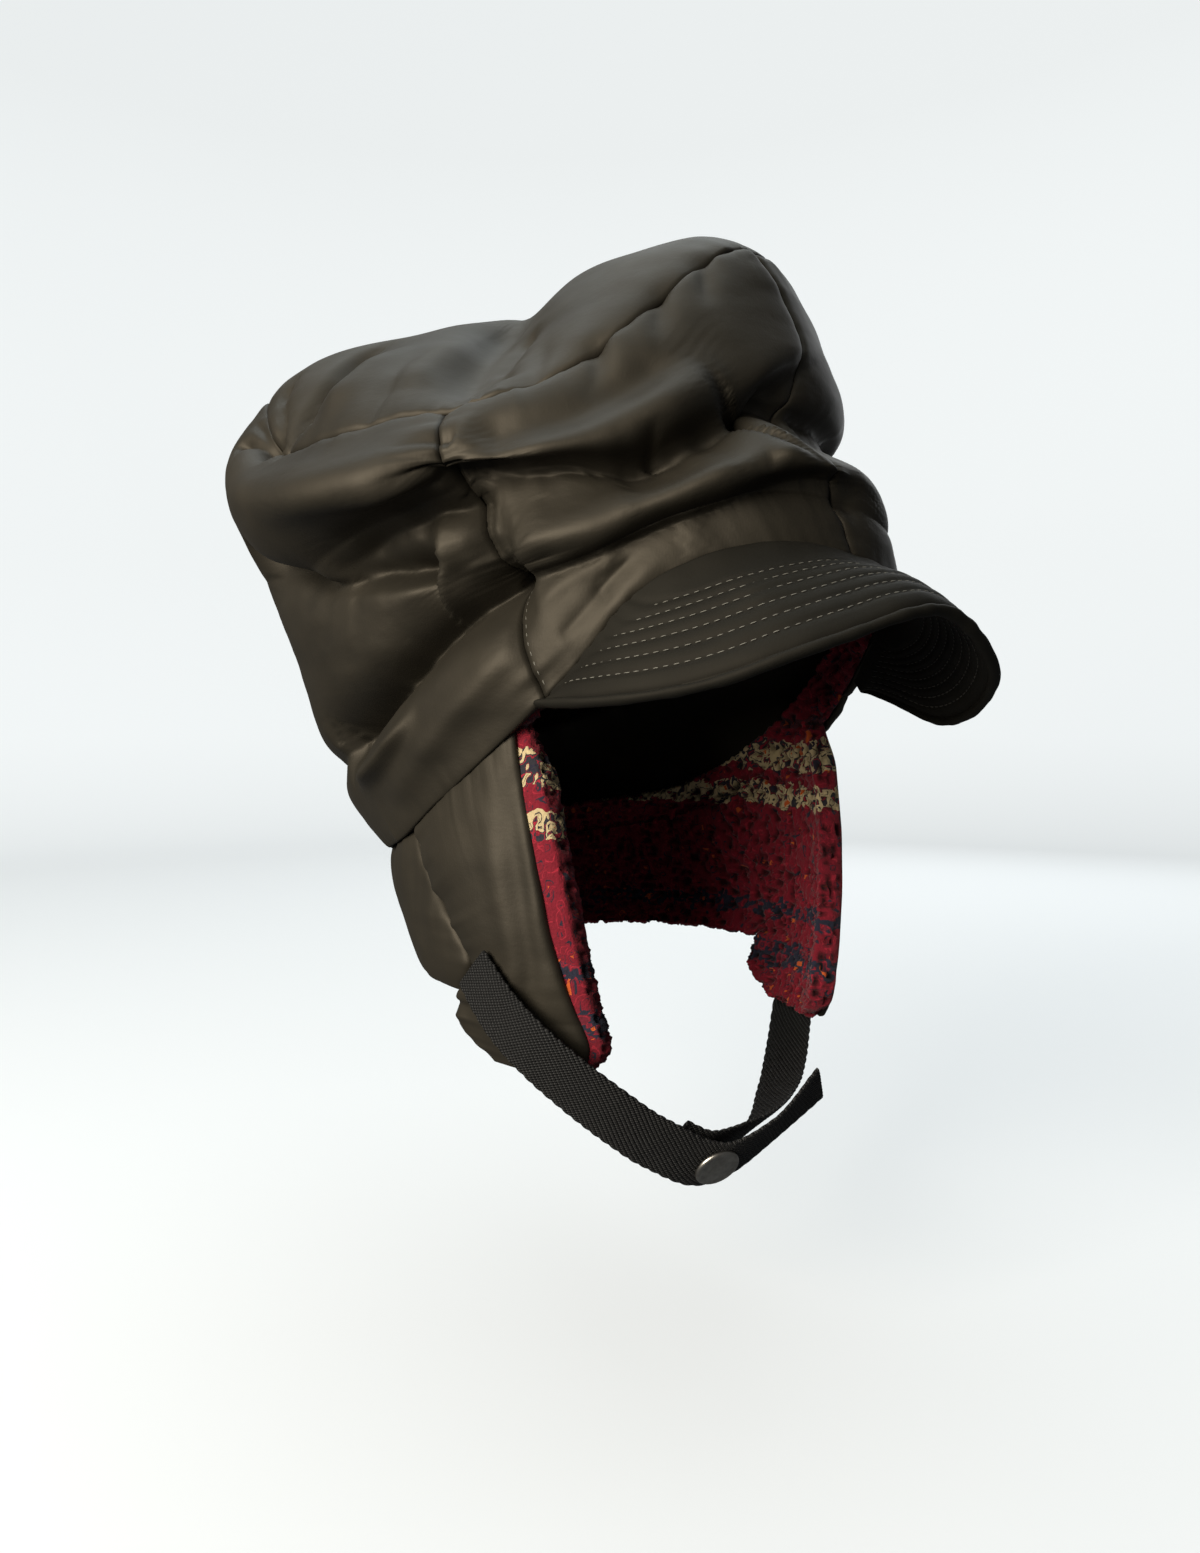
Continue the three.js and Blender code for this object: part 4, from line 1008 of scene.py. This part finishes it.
SEAM_STITCH, SEAM_PITCH, SEAM_THREAD = 1.5, 3.3, 0.2  # length of the seam's stitches, step and thread
SEAM_ROW = (0.12, 1.15)  # levels between which they run
SEAM_SIDE = 0.9  # degrees from the seam to the stitches


def side_seam_stitches():
    """Small stitches along the lower part of the seam over the visor's right corner."""
    vertices, faces = [], []
    heights = np.linspace(*SEAM_ROW, 260)
    points, inward = crown_surface(0 * heights + RIGHT_SEAM - SEAM_SIDE, heights)
    lengths = itertools.repeat(SEAM_STITCH)
    add_stitches(vertices, faces, points, -inward, lengths, SEAM_PITCH, SEAM_THREAD)
    place(add_mesh("side_seam_stitches", vertices, faces, pale_thread), "nylon")


side_seam_stitches()
visor()
visor_edge()
visor_stitches("visor_top_stitches", STITCH_ROWS, pitch=3.3, length=2.0, sunk=0.35, facing=1,
               material=pale_thread, width=0.17)
visor_stitches("visor_under_stitches", UNDER_ROWS, pitch=3.0, length=2.2, sunk=VISOR_THICK - 0.3, facing=-1,
               material=dark_thread, width=0.22)


# Flaps

def skirt_size(column, z):
    """A column of the skirt's ovals at any height."""
    heights = SKIRT_OVALS[:, 0]
    index = np.clip(np.searchsorted(-heights, -z, side="left") - 1, 0, len(heights) - 2)
    share = np.clip((heights[index] - z) / (heights[index] - heights[index + 1]), 0, 1)
    return along_rows(SKIRT_OVALS[:, column], index + share)


def skirt_point(turn, z, offset):
    """The skirt by turn and height, moved out by an offset and kept under the crown's hem."""
    angle = np.radians(turn)
    depth = np.where(np.cos(angle) > 0, skirt_size(2, z), skirt_size(3, z))
    x = -(skirt_size(1, z) + offset - SKIRT_TUCK) * np.sin(angle)
    y = -(depth + offset - SKIRT_TUCK) * np.cos(angle)
    return under_hem(np.stack([x, y, z + 0 * x], -1))


HEM_HALF_WIDTH, HEM_HALF_DEPTH = LEVEL_OVALS["hem"][2:4]
HEM_LAP = 2.6  # the skirt's cloth goes up behind the crown's hem
LAP_SHARE = 0.08  # of the flap's height, over which it rises there
EAR_WIDTH, EAR_HEIGHT = 42, 95
NAPE_WIDTH, NAPE_HEIGHT = 260, 34
NAPE_SEAM = 40  # length of its seam to an ear flap
NAPE_TURN_SIZE = 1.7  # millimetres for a degree round the back
EDGE_BACK = 2.2  # degrees that the upper part of an ear flap's front edge stands back
EDGE_ROUND, EDGE_ROUND_WIDTH = 1.6, 1.1  # a flap's edges are rounded off
TOP_SINK, TOP_SINK_WIDTH = 2.2, 4  # and it goes in under the hem
CALM = 12  # millimetres from a seam within which the wrinkles die away
SEAM_SINK = 0.7  # how far the nape flap's ends are drawn in
RIDGE, VALLEY = 0.6, 1.2  # the ear flap's slanting ridge, and the valley in front of it
FOLD_FOOT, FOLD_LEAN, FOLD_WIDTH, FOLD_APART = 0.22, 0.45, 0.1, 0.18  # as shares of its width


def lap(up):
    return HEM_LAP * smooth((up - 1 + LAP_SHARE) / LAP_SHARE)


def under_hem(point):
    turn = np.degrees(np.arctan2(-point[..., 0] / HEM_HALF_WIDTH, -point[..., 1] / HEM_HALF_DEPTH))
    limit = section("hem", turn) - SKIRT_DROP + HEM_LAP
    point[..., 2] = np.minimum(point[..., 2], limit)
    return point


def mesh_places(columns, rows, backwards=False):
    """Places of a grid from 0 to 1, across and up."""
    across = np.linspace(1, 0, columns + 1) if backwards else np.linspace(0, 1, columns + 1)
    return np.meshgrid(across, np.linspace(0, 1, rows + 1), indexing="ij")


def puff_at(across, up):
    return FLAP_PUFF * (np.maximum(np.sin(np.pi * across), 0) * np.maximum(np.sin(np.pi * up), 0)) ** 0.6


def ear_place(across, up, inset):
    """Turn and height of a place on the right ear flap, whose edges are moved in by an inset."""
    row = (1 - up) * (len(EAR_ROWS) - 1)
    trim = math.degrees(inset / HEM_HALF_WIDTH)
    front_turn, front_z, back_turn, back_z = (along_rows(EAR_ROWS[:, k], row) for k in range(4))
    turn = (front_turn + trim) + (back_turn - trim - front_turn - trim) * across
    z = front_z + (back_z - front_z) * across - inset * (2 * up - 1) + lap(up)
    return turn, z


def nape_place(share, up, inset):
    """The same on the nape flap, from the wearer's left to the right."""
    from_left = 2 * share - 1
    row = (1 - up) * (len(NAPE_ROWS) - 1)
    end_turn, end_z, back_z = (along_rows(NAPE_ROWS[:, k], row) for k in range(3))
    edge_turn = end_turn + GAP / 2 + inset / 1.5
    turn = 180 - from_left * (180 - edge_turn)
    z = back_z + (end_z - back_z) * from_left ** 2 - inset * (2 * up - 1) + lap(up)
    return turn, z


def mirror(points, mirrored):
    return points * (-1, 1, 1) if mirrored else points


def flap_edges(across, up, width, height):
    """How a flap's cloth goes in at its edges and under the crown's hem."""
    edge = np.minimum(np.minimum(across, 1 - across) * width, np.minimum(up, 1 - up) * height)
    sink = TOP_SINK * np.exp(-(1 - up) * height / TOP_SINK_WIDTH)
    return -EDGE_ROUND * np.exp(-edge / EDGE_ROUND_WIDTH) - sink


def ear_cloth(name, mirrored, node):
    a, up = mesh_places(96, 150, not mirrored)
    turn, z = ear_place(a, up, 0)
    turn = turn + EDGE_BACK * (1 - a) ** 4 * smooth(2.2 * up - 0.3)
    puff = puff_at(a, up)
    points = skirt_point(turn, z, puff)
    rise, from_front, from_back = up * EAR_HEIGHT, a * EAR_WIDTH, (1 - a) * EAR_WIDTH
    relief = flap_edges(a, up, EAR_WIDTH, EAR_HEIGHT)
    relief = relief + 0.9 * pucker(rise, from_back, reach=8, length=5.5, seed=71)
    relief = relief + 0.3 * pucker(from_front * 2, EAR_HEIGHT - rise, reach=8, length=5, seed=72)
    relief = relief + 0.35 * pucker(rise, from_front, reach=5, length=7, seed=73)
    relief = relief + 1.1 * smooth(from_back / CALM) * value_noise(points / (26, 26, 38), 74)
    relief = relief + 0.25 * value_noise(points / 9, 75)
    from_ridge = a - (FOLD_FOOT + FOLD_LEAN * (1 - up))
    from_valley = from_ridge + FOLD_APART
    folds = RIDGE * np.exp(-((from_ridge / FOLD_WIDTH) ** 2))
    folds = folds - VALLEY * np.exp(-((from_valley / FOLD_WIDTH) ** 2))
    relief = relief + folds * smooth(up * 3) * smooth((1 - up) * 4)
    outer = mirror(skirt_point(turn, z, puff + relief), mirrored)
    inner = mirror(skirt_point(turn, z, puff - WALL), mirrored)[::2, ::2]
    place(closed_sheet(name, outer, inner, nylon), "nylon", node)


def nape_cloth():
    share, up = mesh_places(260, 60)
    turn, z = nape_place(share, up, 0)
    puff = puff_at(share, up)
    points = skirt_point(turn, z, puff)
    along, from_end = turn * NAPE_TURN_SIZE, np.minimum(share, 1 - share) * NAPE_WIDTH
    calm = smooth(from_end / CALM)
    relief = flap_edges(share, up, NAPE_WIDTH, NAPE_HEIGHT)
    relief = relief + 0.9 * pucker(up * NAPE_SEAM, from_end, reach=9, length=5.5, seed=81)
    relief = relief + 0.8 * pucker(along, (1 - up) * NAPE_HEIGHT, reach=12, length=7, seed=82)
    relief = relief + 0.3 * pucker(along, up * NAPE_HEIGHT, reach=6, length=8, seed=83)
    relief = relief - SEAM_SINK * (1 - calm)
    relief = relief + 1.2 * calm * value_noise(points / (24, 24, 30), 84) + 0.25 * value_noise(points / 9, 85)
    outer = skirt_point(turn, z, puff + relief)
    inner = skirt_point(turn, z, puff - WALL)[::2, ::2]
    place(closed_sheet("nape_flap_cloth", outer, inner, nylon), "nylon", "nape_flap")


ear_cloth("ear_flap_right_cloth", False, "ear_flap_right")
ear_cloth("ear_flap_left_cloth", True, "ear_flap_left")
nape_cloth()


# Wool

SPOT = 3.1  # size of a bit of yarn of one colour
PILE_SINK = 0.6
WOOL_LAP = 0.3  # space between a flap's cloth and its wool
RIM_SWELL = 0.9
WOOL_SPILL = 4.4  # degrees that the wool reaches past an ear flap's front edge
SPILL_THICK = 1.5  # and how much thicker it is there on each side
BAND_ROWS = np.array([(1.2, 4.2), (7, 5.8), (14, 9.5)])  # height over the hem, and inset from its oval


def loops(points, seed):
    """Height of the looped pile: two layers of curly yarn, and which bit of yarn shows."""
    curl = points / YARN
    first = 1 - 3.0 * np.abs(value_noise(curl, seed))
    second = 0.8 - 3.0 * np.abs(value_noise(curl * 1.2 + 31, seed + 1))
    pile = np.clip(np.maximum(first, second), -0.9, 1)
    spot = 0.5 + 0.5 * value_noise(points / SPOT + 7, seed + 2)
    return PILE * pile - PILE_SINK, np.where(first > second, spot, 1 - spot)


def thick_sheet(outer, inner, layers, seed, name, node, closed=False):
    """A wool sheet with its thickness in layers, so that its edges are looped too. A closed one is a band."""
    columns, rows = outer.shape[:2]
    pile, yarn = loops(inner, seed)
    inner = inner + unit(inner - outer) * pile[..., None]
    vertices = np.concatenate([outer.reshape(-1, 3), inner.reshape(-1, 3)])
    piles, yarns = [0 * pile.ravel(), pile.ravel()], [yarn.ravel(), yarn.ravel()]
    first = columns * rows
    faces = grid_faces(columns, rows) + grid_faces(columns, rows, first, True)
    if closed:
        a = (columns - 1) * rows + np.arange(rows - 1)
        b = np.arange(rows - 1)
        faces += np.stack([a, b, b + 1, a + 1], -1).tolist()
        faces += (np.stack([a, b, b + 1, a + 1], -1)[:, ::-1] + first).tolist()
        rims = [[c * rows for c in range(columns)][::-1], [c * rows + rows - 1 for c in range(columns)]]
    else:
        rims = [border(columns, rows)[::-1]]
    for rim in rims:
        rim = np.array(rim)
        start, through = vertices[rim], vertices[rim + first] - vertices[rim]
        rings = [rim]
        for layer in range(1, layers):
            share = layer / layers
            line = start + through * share
            along = unit(np.roll(line, -1, 0) - np.roll(line, 1, 0))
            sideways = unit(np.cross(along, unit(through)))
            pile, yarn = loops(line, seed)
            arch = math.sin(math.pi * share)
            swell = (RIM_SWELL * arch + pile) * arch ** 0.4
            rings.append(len(vertices) + np.arange(len(rim)))
            vertices = np.concatenate([vertices, line + sideways * swell[:, None]])
            piles.append(pile)
            yarns.append(yarn)
        rings.append(rim + first)
        for lower, upper in zip(rings[:-1], rings[1:]):
            faces += np.stack([lower, np.roll(lower, -1), np.roll(upper, -1), upper], -1).tolist()
    obj = add_mesh(name, vertices, faces, wool)
    for attribute, values in (("pile", piles), ("yarn", yarns)):
        layer = obj.data.attributes.new(attribute, "FLOAT", "POINT")
        layer.data.foreach_set("value", np.concatenate(values).astype(np.float32))
    place(obj, "wool", node)


def ear_wool(name, mirrored, node, seed):
    a, up = mesh_places(70, 130, not mirrored)
    turn, z = ear_place(a, up, 1)
    spill = np.exp(-((a / 0.1) ** 2)) * smooth(8 * up) * smooth(7 * (1 - up))
    face = puff_at(a, up) - WALL - WOOL_LAP
    outer = skirt_point(turn - 0.8 * WOOL_SPILL * spill, z, face + SPILL_THICK * spill)
    inner = skirt_point(turn - WOOL_SPILL * spill, z, face - FLAP_LINING - SPILL_THICK * spill)
    thick_sheet(mirror(outer, mirrored), mirror(inner, mirrored), 8, seed, name, node)


def nape_wool():
    share, up = mesh_places(300, 50)
    turn, z = nape_place(share, up, 1)
    face = puff_at(share, up) - WALL - WOOL_LAP
    outer, inner = skirt_point(turn, z, face), skirt_point(turn, z, face - FLAP_LINING)
    thick_sheet(outer, inner, 7, 95, "nape_lining_wool", "nape_lining")


def band_wool():
    columns = 560
    at = np.linspace(0, len(BAND_ROWS) - 1, 21)
    turns = 360 - np.arange(columns) * 360 / columns
    turn, lift = np.meshgrid(turns, along_rows(BAND_ROWS[:, 0], at), indexing="ij")
    inset = along_rows(BAND_ROWS[:, 1], at)[None, :]
    angle = np.radians(turn)

    def face(depth):
        x = -(HEM_HALF_WIDTH - inset - depth) * np.sin(angle)
        y = -(HEM_HALF_DEPTH - inset - depth) * np.cos(angle)
        return np.stack([x, y, section("hem", turn) + lift], -1)

    thick_sheet(face(0), face(BAND_LINING), 6, 97, "band_lining_wool", "band_lining", closed=True)


ear_wool("ear_lining_right_wool", False, "ear_lining_right", 91)
ear_wool("ear_lining_left_wool", True, "ear_lining_left", 93)
nape_wool()
band_wool()


# Chin strap and snap

def strap_frame(table, row):
    """Middle of a strap at fractional rows of its table, the way along it and the way that it faces."""
    last = len(table) - 1
    row = np.asarray(row, float)

    def at(rows, first):
        return np.stack([along_rows(table[:, first + k], rows) for k in range(3)], -1)

    middle = at(row, 0)
    along = unit(at(np.minimum(row + 0.05, last), 0) - at(np.maximum(row - 0.05, 0), 0))
    face = at(row, 3)
    face = unit(face - along * np.sum(face * along, -1, keepdims=True))
    return middle, along, face


SCALLOP, SCALLOP_LENGTH = 0.45, 4.2  # the webbing's wavy edges
WANDER = 0.25
EDGE_IN = 0.45  # how far the wavy edges start inside the webbing's width
RIPPLE, RIB_LEAN = 0.12, 0.55  # its slanting ribs
EDGE_THIN = 0.45  # share by which its edges are thinner
WEB_TWIST = 0.35


def strap(name, table, node):
    steps, across = 420, 22
    middle, along, face = strap_frame(table, np.linspace(0, len(table) - 1, steps + 1))
    width = np.cross(face, along)
    length = run_length(middle)
    side = np.linspace(-1, 1, across + 1)
    scallop = SCALLOP * np.abs(np.sin(np.pi * length / SCALLOP_LENGTH))
    half = WEBBING_WIDTH / 2 - EDGE_IN + scallop + WANDER * noise_along(length / 11, 101)
    v = side[None, :] * half[:, None]
    ripple = RIPPLE * np.sin(2 * np.pi * (length[:, None] * RIB_LEAN + v) / RIB)
    ripple = ripple * (np.abs(side) < 0.9)[None, :]
    thick = 0.5 * WEBBING_THICK * (1 - EDGE_THIN * np.abs(side) ** 6)[None, :] + ripple
    twist = WEB_TWIST * noise_along(length / 24, 102, 3)[:, None] * side[None, :]
    core = middle[:, None] + width[:, None] * v[..., None] + face[:, None] * twist[..., None]
    outer = core + face[:, None] * thick[..., None]
    inner = core - face[:, None] * thick[..., None]
    obj = closed_sheet(name, outer[::-1], inner[::-1], webbing)
    add_strap_map(obj, length[::-1], v[::-1])
    place(obj, "webbing", node)


def add_strap_map(obj, length, v):
    """A map along the strap and across it, the same on both faces."""
    uv = np.stack([length[:, None] + 0 * v, v + 0.5 * MAP_SIZE], -1).reshape(-1, 2) / MAP_SIZE
    corner = np.zeros(len(obj.data.loops), int)
    obj.data.loops.foreach_get("vertex_index", corner)
    layer = obj.data.uv_layers.new(name="along")
    layer.data.foreach_set("uv", uv[corner % len(uv)].ravel().astype(np.float32))


SNAP_SIDES = 72
# Shares of the snap's radius and height
SNAP_PROFILE = [(0.93, 0.0), (0.985, 0.12), (1.0, 0.3), (0.985, 0.55), (0.94, 0.78), (0.88, 0.86),
                (0.82, 0.84), (0.77, 0.74), (0.72, 0.72), (0.5, 0.9), (0.25, 0.98)]
SNAP_LIFT = WEBBING_THICK / 2 + 0.1


def snap(name, radius, height, table, node):
    """A domed metal disc with a rolled rim, on the strap's face."""
    middle, along, face = (x[0] for x in strap_frame(table, [SNAP_POINT]))
    side = np.cross(face, along)
    centre = middle + face * SNAP_LIFT
    vertices, faces = [centre], []
    for out, up in SNAP_PROFILE:
        for k in range(SNAP_SIDES):
            angle = 2 * math.pi * k / SNAP_SIDES
            spoke = math.cos(angle) * along + math.sin(angle) * side
            vertices.append(centre + radius * out * spoke + face * height * up)
    last = len(vertices) - SNAP_SIDES
    vertices.append(centre + face * height)
    for k in range(SNAP_SIDES):
        n = (k + 1) % SNAP_SIDES
        faces.append([0, 1 + k, 1 + n])
        for a in range(1, last, SNAP_SIDES):
            b = a + SNAP_SIDES
            faces.append([a + k, b + k, b + n, a + n])
        faces.append([last + k, len(vertices) - 1, last + n])
    place(add_mesh(name, vertices, faces, metal), "snap_steel", node)


strap("chin_strap_right_webbing", RIGHT_STRAP, "chin_strap_right")
strap("chin_strap_left_webbing", LEFT_STRAP, "chin_strap_left")
snap("snap_cap_metal", SNAP_RADIUS, SNAP_HEIGHT, RIGHT_STRAP, "snap_cap")
snap("snap_stud_metal", STUD_RADIUS, STUD_HEIGHT, LEFT_STRAP, "snap_stud")


# Stage, light and camera

# Painted light: the stage's glow, dimmer on the floor near the cap and brighter on the far wall.
GLOW = [(0.0, (0.50, 0.52, 0.525)), (0.3, (0.56, 0.585, 0.59)), (0.45, (0.68, 0.71, 0.72)),
        (1.0, (0.74, 0.775, 0.785))]


def backdrop_material():
    """Pale paper that glows a little more the farther back it is: painted light, standing in for lamplight on
    the floor and wall.
    """
    material, tree, shader, where = new_material("pale_paper")
    backward = split_axes(tree, where["UV"])["Y"]
    grain = noise(tree, where["Object"], 3, 2, 0.5)
    paper = ramp(tree, grain, [(0.0, (0.30, 0.31, 0.315)), (1.0, (0.31, 0.32, 0.325))])
    feed(tree, shader["Emission Color"], ramp(tree, backward, GLOW))
    feed(tree, shader["Base Color"], paper)
    shader["Emission Strength"].default_value = 1
    shader["Roughness"].default_value = 0.95
    shader["Specular IOR Level"].default_value = 0.1
    return material


STAGE_RADIUS, STAGE_BEND, STAGE_SIDES = 1500, 500, 96
WALL_STEPS = (500, 1200, 2500)


def stage():
    """A round floor that turns up into a wall all round the cap."""
    profile = [(0.1, 0)] + [(r, 0) for r in np.linspace(150, STAGE_RADIUS, 10)]
    for bend in np.linspace(0.1, math.pi / 2, 16):
        profile.append((STAGE_RADIUS + STAGE_BEND * math.sin(bend), STAGE_BEND * (1 - math.cos(bend))))
    profile += [(STAGE_RADIUS + STAGE_BEND, STAGE_BEND + up) for up in WALL_STEPS]
    vertices, faces = [], []
    for out, up in profile:
        for k in range(STAGE_SIDES):
            angle = 2 * math.pi * k / STAGE_SIDES
            vertices.append((out * math.cos(angle), out * math.sin(angle), FLOOR_HEIGHT / MM + up))
    for a in range(0, len(vertices) - STAGE_SIDES, STAGE_SIDES):
        b = a + STAGE_SIDES
        for k in range(STAGE_SIDES):
            n = (k + 1) % STAGE_SIDES
            faces.append([a + k, b + k, b + n, a + n])
    floor = add_mesh("stage_floor", vertices, faces, backdrop_material())
    layer = floor.data.uv_layers.new(name="back")
    for loop in floor.data.loops:
        out, up = profile[loop.vertex_index // STAGE_SIDES]
        layer.data[loop.index].uv = (0.5, (out + up) / (STAGE_RADIUS + STAGE_BEND + WALL_STEPS[-1]))
    floor.visible_diffuse = False
    floor.visible_glossy = False
    floor.visible_shadow = False


def area_light(name, place_at, aim, size, power, color):
    data = bpy.data.lights.new(name, "AREA")
    data.shape = "RECTANGLE"
    data.size, data.size_y = size
    data.energy = power
    data.color = color
    obj = bpy.data.objects.new(name, data)
    obj.location = place_at
    obj.rotation_mode = "QUATERNION"
    obj.rotation_quaternion = (Vector(aim) - Vector(place_at)).to_track_quat("-Z", "Y")
    bpy.context.scene.collection.objects.link(obj)


def camera():
    data = bpy.data.cameras.new("camera")
    data.sensor_width = SENSOR
    data.lens = SENSOR * FOCAL_SHARE
    data.clip_start, data.clip_end = 0.01, 50
    obj = bpy.data.objects.new("camera", data)
    obj.location = CAMERA_AT
    obj.rotation_euler = (math.radians(90 - CAMERA_PITCH), 0, math.radians(-CAMERA_TURN))
    bpy.context.scene.collection.objects.link(obj)
    bpy.context.scene.camera = obj


stage()
area_light("window", (-1.17, -0.18, 0.36), (0, 0, 0.03), (0.8, 0.8), 37, (1.0, 0.92, 0.80))
area_light("fill", (1.1, 0.5, 0.5), (0, 0, 0), (1.0, 1.0), 6, (0.95, 0.98, 1.0))
area_light("sky", (0.2, 0.35, 1.5), (0, 0, 0), (1.6, 1.6), 19, (0.90, 0.98, 1.0))
world = bpy.data.worlds.new("studio")
bpy.context.scene.world = world
world.use_nodes = True
background = world.node_tree.nodes["Background"].inputs
background["Color"].default_value = (0.93, 0.96, 0.98, 1)
background["Strength"].default_value = 0.12
bpy.context.scene.view_settings.view_transform = "Standard"
camera()
